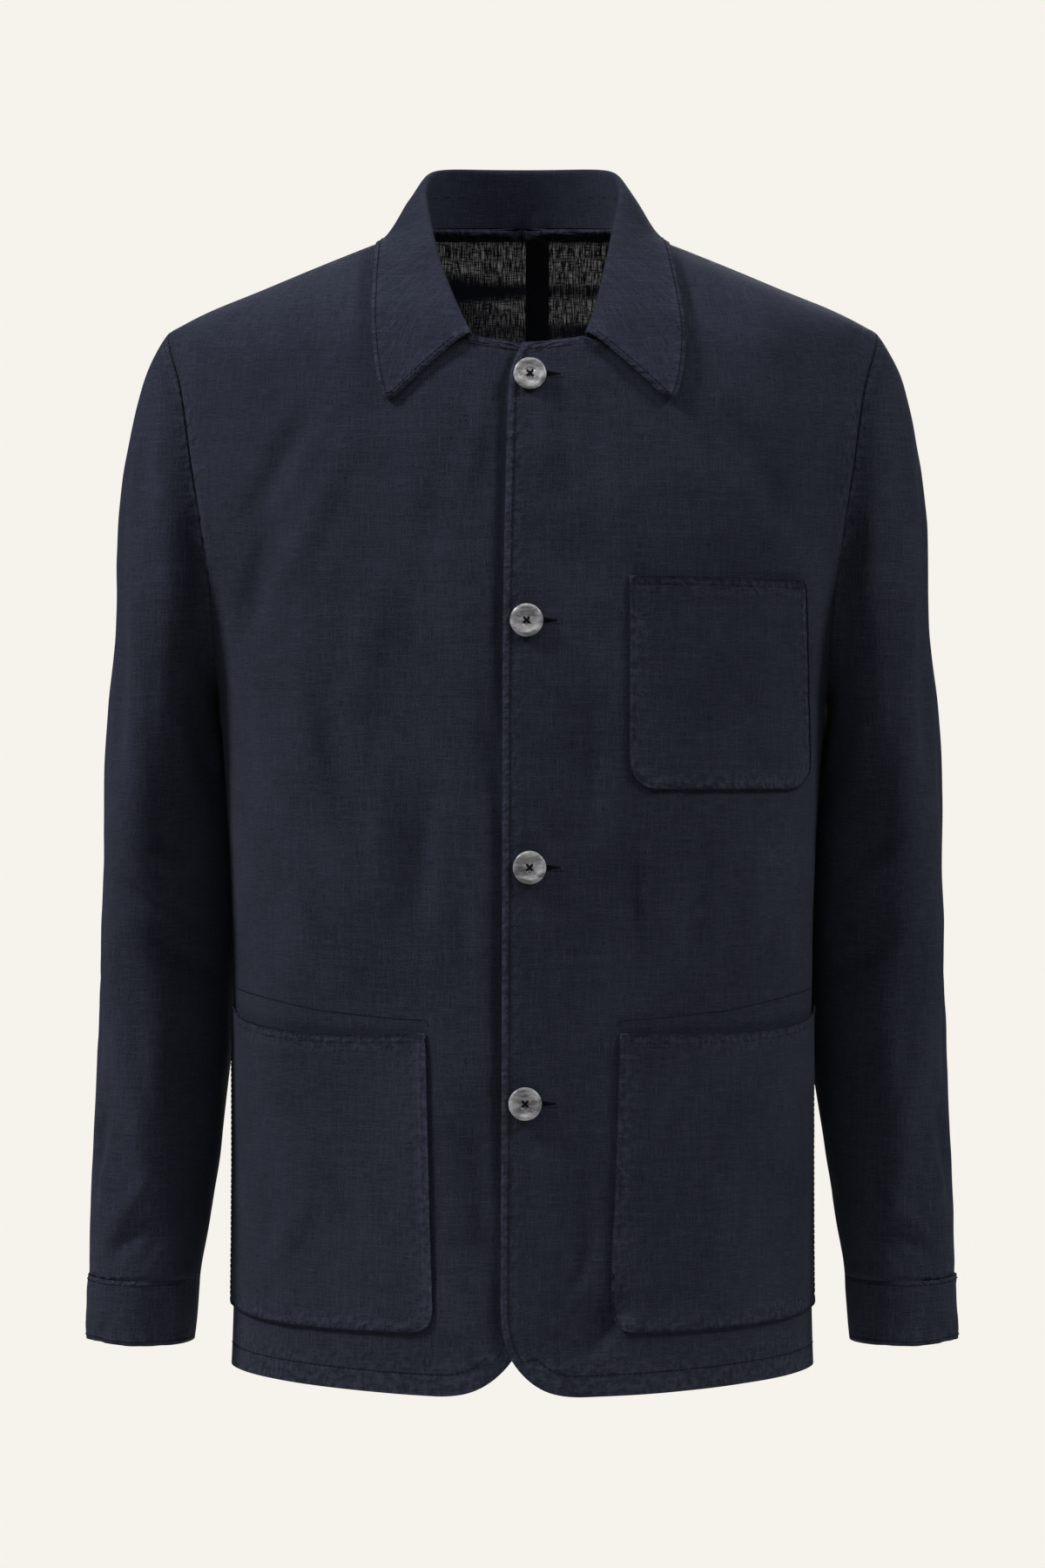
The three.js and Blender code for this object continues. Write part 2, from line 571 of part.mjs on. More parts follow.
// The lines of the collar at one place along it, for one side of the jacket.
function collarAt(along) {
  const side = along < 0 ? -1 : 1;
  const s = Math.abs(along);
  const row = between(COLLAR, "s", s);
  const lean = (y, z) => (y < 0 ? collarSkew(Math.min(z, 2.5)) : 0);
  const skewed = (x, y, z) => new THREE.Vector3(side * x + lean(y, z), y, z);
  const roll = skewed(row.rollX, row.rollY, row.rollZ);
  const edge = skewed(row.edgeX, row.edgeY, row.edgeZ);
  const seam = neckPoint(row.seam);
  seam.set(side * seam.x + collarSkew(seam.z) * (seam.y < 0 ? 1 : 0), seam.y, seam.z);
  return { roll, edge, seam };
}

// The collar's visible face at one place: up the inside of the stand, over the
// roll and down the leaf.
function collarFace(along, samples) {
  const { roll, edge, seam } = collarAt(along);
  const onward = collarAt(along + 0.01).roll.sub(collarAt(along - 0.01).roll).normalize();
  const leafWay = edge.clone().sub(roll).normalize();
  const standWay = seam.clone().sub(roll).normalize();
  const down = leafWay.add(standWay).projectOnPlane(onward).normalize();
  const across = onward.clone().cross(down);
  const r = ROLL_RADIUS;
  const from = (point, sideways, below) =>
    point.clone().addScaledVector(across, sideways).addScaledVector(down, below);
  const foot = seam.clone().addScaledVector(outward(seam), 2 * SEAM);
  const shoulder = from(roll, -r, r);
  const band = foot.clone().lerp(shoulder, BAND_SHARE);
  const leafTop = from(roll, r, r);
  const leaf = [0.1, 0.25, 0.48, 0.74, 1].map((t) => {
    const p = leafTop.clone().lerp(edge, t);
    const bulge = 5 * t * (1 - t) * 2;
    const clear = clearOf(p.addScaledVector(outward(p), bulge), COLLAR_CLOTH + LEAF_CLEAR);
    return samples ? clearOfStand(clear, samples, 2 * COLLAR_CLOTH + LEAF_GAP) : clear;
  });
  const crown = [from(roll, -0.72 * r, 0.3 * r), roll.clone(), from(roll, 0.72 * r, 0.3 * r)];
  return { foot, band, path: [band, shoulder, ...crown, leafTop, ...leaf] };
}

// Points of the stand's visible face with the direction of its hidden side,
// for one side of the collar.
function standSamples(side) {
  const STEPS = 40;
  const samples = [];
  const lineAt = (s) => {
    const { foot, path } = collarFace(side * s, false);
    return [0, 0.25, 0.5, 0.75, 1].map((t) => foot.clone().lerp(path[1], t));
  };
  for (let i = 0; i < STEPS; i += 1) {
    const [line, next] = [lineAt(i / STEPS), lineAt((i + 1) / STEPS)];
    line.forEach((p, j) => {
      const up = line[Math.min(j + 1, 4)].clone().sub(line[Math.max(j - 1, 0)]);
      const along = next[j].clone().sub(p).multiplyScalar(side);
      samples.push({ p, hidden: up.cross(along).normalize() });
    });
  }
  return samples;
}

// Moves a point of the leaf away from the stand that it hangs over.
function clearOfStand(p, samples, distance) {
  let nearest = samples[0];
  for (const sample of samples) {
    if (sample.p.distanceToSquared(p) < nearest.p.distanceToSquared(p)) nearest = sample;
  }
  const off = p.clone().sub(nearest.p);
  if (off.length() > 2.5 * distance) return p;
  const short = distance - off.dot(nearest.hidden);
  return short > 0 ? p.clone().addScaledVector(nearest.hidden, short) : p;
}

// The steps along the collar, from its right front end to its left one.
function collarSteps() {
  const steps = [];
  for (let i = -COLLAR_STEPS; i <= COLLAR_STEPS; i += 1) steps.push(i / COLLAR_STEPS);
  return steps;
}

// A wall along paths whose hidden side is given by the turn of the path.
function foldedWall(paths, thickness) {
  const hidden = paths.map((path, i) => {
    const next = paths[Math.min(i + 1, paths.length - 1)];
    const last = paths[Math.max(i - 1, 0)];
    return path.map((p, j) => {
      const onward = path[Math.min(j + 1, path.length - 1)].clone().sub(path[Math.max(j - 1, 0)]);
      const along = next[j].clone().sub(last[j]);
      return p.clone().addScaledVector(onward.cross(along).normalize(), thickness);
    });
  });
  return wall(paths, hidden);
}

function collarLeaf() {
  const gap = 2 * SEAM;
  const samples = { 1: standSamples(1), "-1": standSamples(-1) };
  const paths = collarSteps().map((along) => {
    const { band, path } = collarFace(along, samples[along < 0 ? -1 : 1]);
    const lifted = band.clone().addScaledVector(path[1].clone().sub(band).normalize(), gap);
    return [lifted, ...path.slice(1)];
  });
  return foldedWall(paths, COLLAR_CLOTH);
}

function collarBand() {
  const paths = collarSteps().map((along) => {
    const { foot, band } = collarFace(along);
    return [foot, foot.clone().lerp(band, 0.5), band];
  });
  return foldedWall(paths, COLLAR_CLOTH);
}

// How far round the torso a point lies, from the centre front to the side.
function bearing(p) {
  const section = between(SECTIONS, "z", p.z);
  return Math.atan2(Math.abs(p.x) / section.side, Math.abs(p.y) / section.front);
}

// The place on a panel's own faces that lies over an x and z of the form.
function onPanel(grid, x, z) {
  const target = bearing(formPoint(x, z, -1));
  const ladder = grid.map((row) => {
    let c = 0;
    while (c < row.length - 2 && (row[c + 1].x * x < 0 || bearing(row[c + 1]) < target)) c += 1;
    const [a, b] = [row[c], row[c + 1]];
    const t = (target - bearing(a)) / (bearing(b) - bearing(a));
    return a.clone().lerp(b, clamp(t, 0, 1));
  });
  let r = 0;
  while (r < ladder.length - 2 && ladder[r + 1].z < z) r += 1;
  const [low, high] = [ladder[r], ladder[r + 1]];
  return low.clone().lerp(high, clamp((z - low.z) / (high.z - low.z), 0, 1));
}

// A patch pocket's wall, laid on the faces of the panel under it. It pouches a
// little in the middle of its mouth, and lies close along its sewn sides.
function patchPocket(pocket, side, panel) {
  const { columns } = pocket;
  const tall = pocket.topInner - pocket.bottomInner;
  const lowest = CORNER_ROWS.at(-1) / tall;
  const levels = CORNER_ROWS.map((height) => height / tall);
  for (let r = 1; r <= UPPER_ROWS; r += 1) levels.push(lerp(lowest, 1, r / UPPER_ROWS));
  const grid = levels.map((level) => {
    const row = [];
    for (let c = 0; c <= columns; c += 1) {
      const t = c / columns;
      const sag = Math.sin(Math.PI * t);
      const top = lerp(pocket.topInner, pocket.topOuter, t ** 2) - pocket.topSag * sag;
      const bottom = lerp(pocket.bottomInner, pocket.bottomOuter, t ** 1.6) - pocket.bottomSag * sag;
      const z = lerp(bottom, top, level);
      const reach = between(SECTIONS, "z", z).side;
      const angleOf = (x) => Math.asin(Math.min(x / reach, 0.9999));
      const rise = z - bottom;
      const innerX = lerp(pocket.inner[1], pocket.inner[0], level) + cornerCut(rise, pocket.cornerInner);
      const outerX = lerp(pocket.outer[1], pocket.outer[0], level) - cornerCut(rise, pocket.cornerOuter);
      const pouch = pocket.pouch * sag * level ** 2;
      const x = reach * Math.sin(lerp(angleOf(innerX), angleOf(outerX), t));
      const p = onPanel(panel, side * x, z);
      row.push(p.addScaledVector(outward(p), POCKET_CLEAR + CLOTH + pouch));
    }
    return row;
  });
  return torsoWall(grid, CLOTH);
}

// A sewn-through button: a turned disc with a raised rim, a dished middle and
// four holes, facing -Y.
function buttonGeometry() {
  const profile = [
    [0, -0.54],
    [0.34, -0.56],
    [0.42, -0.72],
    [0.76, -0.8],
    [0.84, -1],
    [0.93, -1],
    [1, -0.72],
    [1, -0.3],
    [0.86, 0],
    [0, 0],
  ].map(([r, y]) => new THREE.Vector2(r * BUTTON_RADIUS, y * BUTTON_THICK));
  const disc = solid(new THREE.LatheGeometry(profile, 20));
  const HOLE = { radius: 1, from: 2.1, sides: 6 };
  let cut = disc;
  for (let i = 0; i < 4; i += 1) {
    const angle = Math.PI / 4 + (i * Math.PI) / 2;
    const hole = new THREE.CylinderGeometry(HOLE.radius, HOLE.radius, 3 * BUTTON_THICK, HOLE.sides);
    hole.translate(HOLE.from * Math.cos(angle), 0, HOLE.from * Math.sin(angle));
    cut = cut.subtract(solid(hole));
  }
  return geometryOf(cut);
}

// A closed geometry as a solid that can be cut, and back.
function solid(geometry) {
  const bare = new THREE.BufferGeometry();
  bare.setAttribute("position", geometry.getAttribute("position"));
  bare.setIndex(geometry.getIndex());
  const merged = mergedByPlace(bare);
  return new wasm.Manifold(new wasm.Mesh({ numProp: 3, ...merged }));
}

function mergedByPlace(geometry) {
  const places = new Map();
  const vertProperties = [];
  const position = geometry.getAttribute("position");
  const order = [];
  for (let i = 0; i < position.count; i += 1) {
    const point = [position.getX(i), position.getY(i), position.getZ(i)];
    const key = point.map((v) => Math.round(v * 1e3)).join();
    if (!places.has(key)) {
      places.set(key, places.size);
      vertProperties.push(...point);
    }
    order.push(places.get(key));
  }
  const triVerts = [];
  const index = geometry.getIndex().array;
  for (let i = 0; i < index.length; i += 3) {
    const corners = [order[index[i]], order[index[i + 1]], order[index[i + 2]]];
    if (new Set(corners).size === 3) triVerts.push(...corners);
  }
  return {
    vertProperties: new Float32Array(vertProperties),
    triVerts: new Uint32Array(triVerts),
  };
}

function geometryOf(manifold) {
  const { vertProperties, triVerts } = manifold.getMesh();
  const geometry = new THREE.BufferGeometry();
  geometry.setAttribute("position", new THREE.BufferAttribute(new Float32Array(vertProperties), 3));
  geometry.setIndex(new THREE.BufferAttribute(new Uint32Array(triVerts), 1));
  geometry.computeVertexNormals();
  return geometry;
}

// A button lies on the outer front and faces the way the cloth does.
function placedButton({ name, x, z }, geometry) {
  const mesh = piece(name, geometry, horn);
  const at = (dx, dz) => clothPoint(x + dx, z + dz, -1, OVERLAP_LIFT + BUTTON_CLEAR);
  const centre = at(0, 0);
  const reach = BUTTON_RADIUS;
  const right = at(reach, 0).sub(at(-reach, 0)).normalize();
  const up = at(0, reach).sub(at(0, -reach)).normalize();
  const back = up.clone().cross(right).normalize();
  mesh.position.copy(centre).addScaledVector(back, -BUTTON_NEARER);
  const basis = new THREE.Matrix4().makeBasis(right, back, right.clone().cross(back));
  mesh.quaternion.setFromRotationMatrix(basis);
  return mesh;
}

// The binding of the centre back seam, made from the panel's first two columns
// and laid inside it.
function backBinding(panel) {
  const { from, to, wall: thick, clear, first } = BINDING;
  const rows = panel.slice(first, NAPE_ROW + 1).map(([start, next]) =>
    [from, (from + to) / 2, to].map((x) => {
      const p = start.clone().lerp(next, (x - start.x) / (next.x - start.x));
      return p.addScaledVector(outward(p), -CLOTH - clear);
    }),
  );
  return torsoWall(rows, thick);
}

const frontLeft = frontPanel(1);
const frontRight = frontPanel(-1);
const backLeft = backPanel(1);
const backRight = backPanel(-1);

const jacket = new THREE.Group();
jacket.add(piece("front_left", torsoWall(frontLeft, CLOTH), linen));
jacket.add(piece("front_right", torsoWall(frontRight, CLOTH), linen));
jacket.add(piece("back_left", torsoWall(backLeft, CLOTH), linen));
jacket.add(piece("back_right", torsoWall(backRight, CLOTH), linen));
jacket.add(piece("sleeve_left", tube(SLEEVE_ROWS, 1), linen));
jacket.add(piece("sleeve_right", tube(SLEEVE_ROWS, -1), linen));
jacket.add(piece("cuff_left", tube(CUFF_ROWS, 1), linen));
jacket.add(piece("cuff_right", tube(CUFF_ROWS, -1), linen));
jacket.add(piece("collar_band", collarBand(), linen));
jacket.add(piece("collar_leaf", collarLeaf(), linen));
jacket.add(piece(CHEST_POCKET.name, patchPocket(CHEST_POCKET, 1, frontLeft), linen));
jacket.add(piece("pocket_left", patchPocket(LOWER_POCKET, 1, frontLeft), linen));
jacket.add(piece("pocket_right", patchPocket(LOWER_POCKET, -1, frontRight), linen));
jacket.add(piece("back_binding", backBinding(backLeft), shadeLinen));
const buttonShape = buttonGeometry();
for (const button of BUTTONS) jacket.add(placedButton(button, buttonShape));

export default jacket;
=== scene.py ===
import math

import bmesh
import bpy
from mathutils import Matrix, Vector, noise
from mathutils.bvhtree import BVHTree
from mathutils.kdtree import KDTree


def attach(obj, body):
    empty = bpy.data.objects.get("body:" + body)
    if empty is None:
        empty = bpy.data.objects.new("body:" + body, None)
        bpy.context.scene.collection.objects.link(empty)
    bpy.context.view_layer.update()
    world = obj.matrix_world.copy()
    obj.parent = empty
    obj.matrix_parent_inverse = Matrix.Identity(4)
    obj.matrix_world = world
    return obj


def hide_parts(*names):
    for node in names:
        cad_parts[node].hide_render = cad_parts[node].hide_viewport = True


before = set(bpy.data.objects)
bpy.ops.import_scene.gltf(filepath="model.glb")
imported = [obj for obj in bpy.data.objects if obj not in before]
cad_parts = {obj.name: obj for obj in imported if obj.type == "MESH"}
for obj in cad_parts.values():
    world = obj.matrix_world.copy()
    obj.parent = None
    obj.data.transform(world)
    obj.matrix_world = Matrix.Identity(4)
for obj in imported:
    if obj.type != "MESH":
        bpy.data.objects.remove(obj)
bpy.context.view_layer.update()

# %% [markdown]
# ## The camera, the floor and the light
#
# A product photograph of a jacket is taken level, from a few metres away, so
# that nothing looks near or far. The lens follows from the distance and from
# the height that the picture takes in.
# %% Camera
CAMERA_AWAY = 3.2
CAMERA_HEIGHT = -0.353
VIEW_HEIGHT = 1.008  # metres that the picture's height covers at the jacket
SENSOR = 36

camera_data = bpy.data.cameras.new("camera")
camera_data.sensor_width = SENSOR
camera_data.lens = SENSOR * CAMERA_AWAY / VIEW_HEIGHT
camera = bpy.data.objects.new("camera", camera_data)
camera.location = (0, -CAMERA_AWAY, CAMERA_HEIGHT)
camera.rotation_euler = (math.pi / 2, 0, 0)
bpy.context.scene.collection.objects.link(camera)
bpy.context.scene.camera = camera
print("lens", round(camera_data.lens, 1), "mm")

# %% [markdown]
# The jacket hangs free, so the floor lies some way under it. The world has the
# floor's own colour, which leaves the plain pale ground of a catalogue picture.
# The Standard view transform keeps that colour as it is.
# %% Floor and world
PALE = (0.92, 0.89, 0.845, 1)
FLOOR_Z = -1.15
FLOOR_RADIUS = 1.4
WORLD_GLOW = 0.1

bpy.context.scene.view_settings.view_transform = "Standard"
bpy.context.scene.view_settings.look = "None"

world = bpy.data.worlds.new("studio")
world.use_nodes = True
bpy.context.scene.world = world


def wire(tree, value, socket):
    """Joins an output to a socket, or sets a plain number or colour there."""
    if isinstance(value, bpy.types.NodeSocket):
        tree.links.new(value, socket)
    else:
        socket.default_value = value


def node_of(tree, kind, inputs, **settings):
    """The outputs of a new shader node with these settings and inputs."""
    node = tree.nodes.new("ShaderNode" + kind)
    for name, value in settings.items():
        setattr(node, name, value)
    for key, value in inputs.items():
        wire(tree, value, node.inputs[key])
    return node.outputs


def light_world(tree, glow):
    """The ground behind the jacket is pale, and gives it only a weak light."""
    seen = tree.nodes["Background"]
    seen.inputs["Color"].default_value = PALE
    weak = node_of(tree, "Background", {"Color": PALE, "Strength": glow})[0]
    from_camera = node_of(tree, "LightPath", {})["Is Camera Ray"]
    chosen = node_of(tree, "MixShader", {0: from_camera, 1: weak, 2: seen.outputs[0]})[0]
    tree.links.new(chosen, tree.nodes["World Output"].inputs["Surface"])


light_world(world.node_tree, WORLD_GLOW)


def new_piece(name, mesh):
    """An object at the origin that holds a mesh."""
    piece = bpy.data.objects.new(name, mesh)
    bpy.context.scene.collection.objects.link(piece)
    return piece


def mesh_from(bm, name):
    mesh = bpy.data.meshes.new(name)
    bm.to_mesh(mesh)
    bm.free()
    return mesh


def new_material(name, constants):
    """A material with these constants on its shader, its tree and its shader."""
    material = bpy.data.materials.new(name)
    material.use_nodes = True
    shader = material.node_tree.nodes["Principled BSDF"]
    for socket, value in constants.items():
        shader.inputs[socket].default_value = value
    return material, material.node_tree, shader


bm = bmesh.new()
bmesh.ops.create_circle(bm, cap_ends=True, segments=96, radius=FLOOR_RADIUS)
bmesh.ops.translate(bm, verts=bm.verts, vec=(0, 0, FLOOR_Z))
floor = new_piece("floor", mesh_from(bm, "floor"))
pale_floor, _, _ = new_material("pale_floor", {"Base Color": PALE, "Roughness": 0.9})
floor.data.materials.append(pale_floor)

# %% [markdown]
# Dark cloth shows its folds only where the light comes from one side more than
# from the other. A lamp high on the left of the camera does that. A weaker one on
# the right opens the shadows, a faint one over the camera softens them, and one
# behind lights the open weave.
# %% Lamps
LAMPS = [
    # name, place, watts, size
    ("left", (-2.3, -0.85, 2.0), 140, 0.7),
    ("right", (2.3, -0.95, 1.8), 74, 0.8),
    ("top", (-0.3, -2.2, 2.2), 20, 0.9),
    ("back", (0.5, 2.6, 1.0), 50, 1.6),
]
CHEST = Vector((0, 0, -0.12))


def add_lamp(name, place, watts, size):
    """A square lamp that faces the jacket's chest."""
    data = bpy.data.lights.new(name, "AREA")
    data.energy = watts
    data.size = size
    lamp = bpy.data.objects.new(name, data)
    lamp.location = place
    towards = CHEST - Vector(place)
    lamp.rotation_euler = towards.to_track_quat("-Z", "Y").to_euler()
    bpy.context.scene.collection.objects.link(lamp)


for row in LAMPS:
    add_lamp(*row)
print(len(LAMPS), "lamps")

# %% [markdown]
# ## Cloth on the solids' form
#
# Each solid is a thin closed wall of triangles. A copy of it is merged, its
# triangles are joined back to four-sided faces, tall faces are cut, and
# Subdivision Surface then rounds it. Both faces of the wall are kept, so the
# cloth stays as thin as it was.
#
# The faces that close the wall's edge are as wide as the wall is thick, which
# is how they are found. Their edges are creased, so that the smoothing does not
# draw the pieces apart at the seams.
# %% Copy a solid as smooth cloth
MERGE = 0.00002
TALL = 0.024  # a face whose sides are longer than this is cut in two
STEEP = 0.6  # the share of its length that such a side rises
JOIN_BEND = 60  # degrees that two joined triangles may bend
JOIN_SKEW = 75  # degrees that their corners may be from square
WALL = {"collar_band": 0.0015, "collar_leaf": 0.0015, "back_binding": 0.0011}
PANEL_WALL = 0.0016
WALL_PLAY = 0.00006  # how far an edge face's width may be from the wall's
CORNER_TURN = 55  # degrees: the outline keeps corners that turn more
ROUND_CORNERS = ("collar_leaf",)
ROUNDED = 0.1  # how firmly such a corner is kept
CORNER = 1  # how firmly other corners are kept
LEVELS = 2  # of Subdivision Surface
OUTSIDE, EDGE, INSIDE = range(3)  # the sides of a piece, kept as material slots


def merged_copy(node):
    """A node's mesh with its doubles merged and its triangles joined in pairs."""
    bm = bmesh.new()
    bm.from_mesh(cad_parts[node].data)
    bmesh.ops.remove_doubles(bm, verts=bm.verts, dist=MERGE)
    bmesh.ops.join_triangles(
        bm,
        faces=bm.faces,
        angle_face_threshold=math.radians(JOIN_BEND),
        angle_shape_threshold=math.radians(JOIN_SKEW),
    )
    return bm


def island(face):
    """The faces that are joined to this one without crossing the wall's edge."""
    found = {face}
    waiting = [face]
    while waiting:
        for edge in waiting.pop().edges:
            for other in edge.link_faces:
                if other not in found and other.material_index != EDGE:
                    found.add(other)
                    waiting.append(other)
    return found


def turns_sharply(vert):
    """Whether the outline of a piece has a corner at this point."""
    lines = [e for e in vert.link_edges if [f.material_index for f in e.link_faces].count(EDGE) == 1]
    if len(lines) != 2:
        return False
    ways = [(e.other_vert(vert).co - vert.co).normalized() for e in lines]
    return ways[0].dot(ways[1]) > -math.cos(math.radians(CORNER_TURN))


def mark_sides(bm, wall):
    """Gives the outside, the edge and the inside of a wall their slots."""
    for face in bm.faces:
        across = [e for e in face.edges if abs(e.calc_length() - wall) < WALL_PLAY]
        face.material_index = EDGE if len(across) >= len(face.verts) - 2 else OUTSIDE
    flat = [f for f in bm.faces if f.material_index == OUTSIDE]
    first = island(flat[0])
    second = set(flat) - first
    smaller = min((first, second), key=lambda faces: sum(f.calc_area() for f in faces))
    for face in smaller:
        face.material_index = INSIDE


def mark_creases(bm, keep_corners):
    """Keeps the outline of a wall firm while the rest of it is smoothed."""
    crease = bm.edges.layers.float.new("crease_edge")
    for edge in bm.edges:
        sides = [f.material_index for f in edge.link_faces]
        if sides.count(EDGE) == 1:
            edge[crease] = 1
    corner = bm.verts.layers.float.new("crease_vert")
    for vert in bm.verts:
        if turns_sharply(vert):
            vert[corner] = keep_corners


def cut_tall(bm):
    """Halves the long edges that run up the cloth."""
    tall = []
    for edge in bm.edges:
        rise = abs((edge.verts[0].co - edge.verts[1].co).z)
        if edge.calc_length() > TALL and rise > STEEP * edge.calc_length():
            tall.append(edge)
    bmesh.ops.subdivide_edges(bm, edges=tall, cuts=1, use_grid_fill=True)


def smoothed(piece):
    """The mesh that Subdivision Surface makes of a piece."""
    smooth = piece.modifiers.new("smooth", "SUBSURF")
    smooth.levels = LEVELS
    smooth.render_levels = LEVELS
    bpy.context.view_layer.update()
    depsgraph = bpy.context.evaluated_depsgraph_get()
    finished = bpy.data.meshes.new_from_object(piece.evaluated_get(depsgraph))
    piece.modifiers.clear()
    for polygon in finished.polygons:
        polygon.use_smooth = True
    return finished


def cloth_copy(node, name):
    """A smooth copy of a node, whose slots tell the sides of its wall."""
    bm = merged_copy(node)
    mark_sides(bm, WALL.get(node, PANEL_WALL))
    mark_creases(bm, ROUNDED if node in ROUND_CORNERS else CORNER)
    cut_tall(bm)
    piece = new_piece(name, mesh_from(bm, name))
    piece.data.attributes.remove(piece.data.attributes["custom_normal"])
    for slot in ("outside", "edge", "inside"):
        piece.data.materials.append(bpy.data.materials.get(slot) or bpy.data.materials.new(slot))
    piece.data = smoothed(piece)
    slots = [polygon.material_index for polygon in piece.data.polygons]
    print(name, "outside, edge and inside faces:", [slots.count(side) for side in range(3)])
    return piece


# %% Make the cloth pieces
CLOTH_PIECES = {
    "front_left": "left_front",
    "front_right": "right_front",
    "back_left": "left_back",
    "back_right": "right_back",
    "sleeve_left": "left_sleeve",
    "sleeve_right": "right_sleeve",
    "cuff_left": "left_cuff",
    "cuff_right": "right_cuff",
    "collar_band": "collar_stand",
    "collar_leaf": "collar",
    "chest_pocket": "breast_pocket",
    "pocket_left": "left_pocket",
    "pocket_right": "right_pocket",
    "back_binding": "seam_tape",
}
cloth = {node: cloth_copy(node, name) for node, name in CLOTH_PIECES.items()}
for node, piece in cloth.items():
    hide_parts(node)
    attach(piece, "root")

# %% [markdown]
# ## Edges and seams
#
# The look of a garment is in its edges: each is folded and sewn down a little
# way in, and that double cloth stands proud. So every point of the cloth needs
# to know how far it is from the nearest edge. An edge that lies against another
# piece's edge is a sewn seam, and the rest are finished edges.
# %% Find each piece's edge lines
SEWN = 0.0016  # edges nearer than this are sewn together
SEWN_COLLAR = 0.004  # the collar's folded seams are thicker
SEWN_SIDE = 0.0028  # and so are the side seams
SIDE_X = 0.1  # what of the body lies further out than this is its side
UPWARD = 0.6  # at a hem, the way in points up by at least this
INSET = 0.003
HEM_INSET = 0.0135  # of the stitches along the hem
PANELS = ("front_left", "front_right", "back_left", "back_right")
INSETS = {  # of the stitches along the other finished edges, where there are any
    **dict.fromkeys(PANELS, 0.0052),
    "cuff_left": 0.0026,
    "cuff_right": 0.0026,
    "collar_leaf": 0.0034,
    "chest_pocket": 0.0013,
    "pocket_left": 0.0014,
    "pocket_right": 0.0014,
}
FOLDED = {"chest_pocket": 0.0056, "pocket_left": 0.006, "pocket_right": 0.006}  # cloth turned in


class EdgePoint:
    """A place on a piece's edge, the way in from it, and the next place."""

    def __init__(self, place, side):
        self.place = place
        self.side = side
        self.inward = Vector()
        self.sewn = False
        self.to_seam = Vector()
        self.inset = 0
        self.neighbours = []


def edge_points(piece):
    """The points of the lines where a piece's two faces meet its edge."""
    mesh = piece.data
    sides_at = {}
    for polygon in mesh.polygons:
        for key in polygon.edge_keys:
            sides_at.setdefault(key, {})[polygon.material_index] = polygon
    points = {}
    for (a, b), sides in sides_at.items():
        side = OUTSIDE if OUTSIDE in sides else INSIDE
        if side not in sides or EDGE not in sides:
            continue
        start, end = mesh.vertices[a].co, mesh.vertices[b].co
        along = (end - start).normalized()
        inward = sides[side].center - (start + end) / 2
        inward = (inward - inward.dot(along) * along).normalized()
        for this, other in ((a, b), (b, a)):
            point = points.setdefault(this, EdgePoint(mesh.vertices[this].co.copy(), side))
            point.inward += inward
            point.neighbours.append(other)
    for point in points.values():
        point.inward.normalize()
    return points


edges = {node: edge_points(piece) for node, piece in cloth.items()}


def tree_of(places):
    """A search tree that finds the nearest of many places."""
    tree = KDTree(len(places))
    for i, place in enumerate(places):
        tree.insert(place, i)
    tree.balance()
    return tree


def of_body(node):
    """Whether a node is a front or a back, or the binding of the back."""
    return node.startswith(("front_", "back_"))


def along_edges(points, step=0.0015):
    """Close places along all the edge lines of a piece."""
    places = []
    for index, point in points.items():
        for other in point.neighbours:
            if other > index:
                end = points[other].place
                parts = max(1, round((end - point.place).length / step))
                places += [point.place.lerp(end, k / parts) for k in range(parts)]
    return places


edge_lines = {node: along_edges(points) for node, points in edges.items()}


def others_of(node):
    """The pieces that a piece can be sewn to edge by edge: pockets lie on theirs."""
    return [n for n in edges if n != node and not (of_body(node) and "pocket" in n)]


def mark_sewn(node, points):
    """Finds the points that lie against another piece, and the way to it."""
    tree = tree_of([place for other in others_of(node) for place in edge_lines[other]])
    for point in points.values():
        nearest, _, away = tree.find(point.place)
        reach = SEWN_SIDE if of_body(node) and abs(point.place.x) > SIDE_X else SEWN
        point.sewn = away < (SEWN_COLLAR if node.startswith("collar") else reach)
        point.to_seam = (nearest - point.place) / 2 if away < reach else Vector()
        at_hem = of_body(node) and point.inward.z > UPWARD
        point.inset = HEM_INSET if at_hem else INSETS.get(node, INSET)


for node, points in edges.items():
    mark_sewn(node, points)
    print(node, len(points), "edge points,", sum(p.sewn for p in points.values()), "of them sewn")

# %% [markdown]
# The solids stand a little apart at their seams, as parts should. Sewn cloth
# doesn't, so each seam is drawn together: both its edges move half the way, and
# the cloth beside them moves less and less.
# %% Draw the seams together
DRAWN = 0.009  # how far from a seam the cloth moves with it
HELD = 0.0025  # the cloth this near to a seam moves all the way


def draw_together(piece, points):
    """Moves the cloth near each seam so that the seam closes."""
    sewn = [p for p in points.values() if p.sewn]
    if not sewn:
        return
    tree = tree_of([p.place for p in sewn])
    for vertex in piece.data.vertices:
        _, at, away = tree.find(vertex.co)
        if away < DRAWN:
            share = min(1, (DRAWN - away) / (DRAWN - HELD))
            vertex.co += share * sewn[at].to_seam
    for index, point in points.items():
        point.place = piece.data.vertices[index].co.copy()


def part_shading(piece, points):
    """Shades a piece flat up to its sewn edges, so that no groove shows there."""
    for edge in piece.data.edges:
        ends = [points.get(i) for i in edge.vertices]
        if all(ends) and all(point.sewn for point in ends):
            edge.use_edge_sharp = True


widest = max(p.to_seam.length for points in edges.values() for p in points.values())
for node, piece in cloth.items():
    draw_together(piece, edges[node])
for node in ("collar_band", "collar_leaf"):
    part_shading(cloth[node], edges[node])
print("the widest seam was open by", round(2000 * widest, 2), "mm")

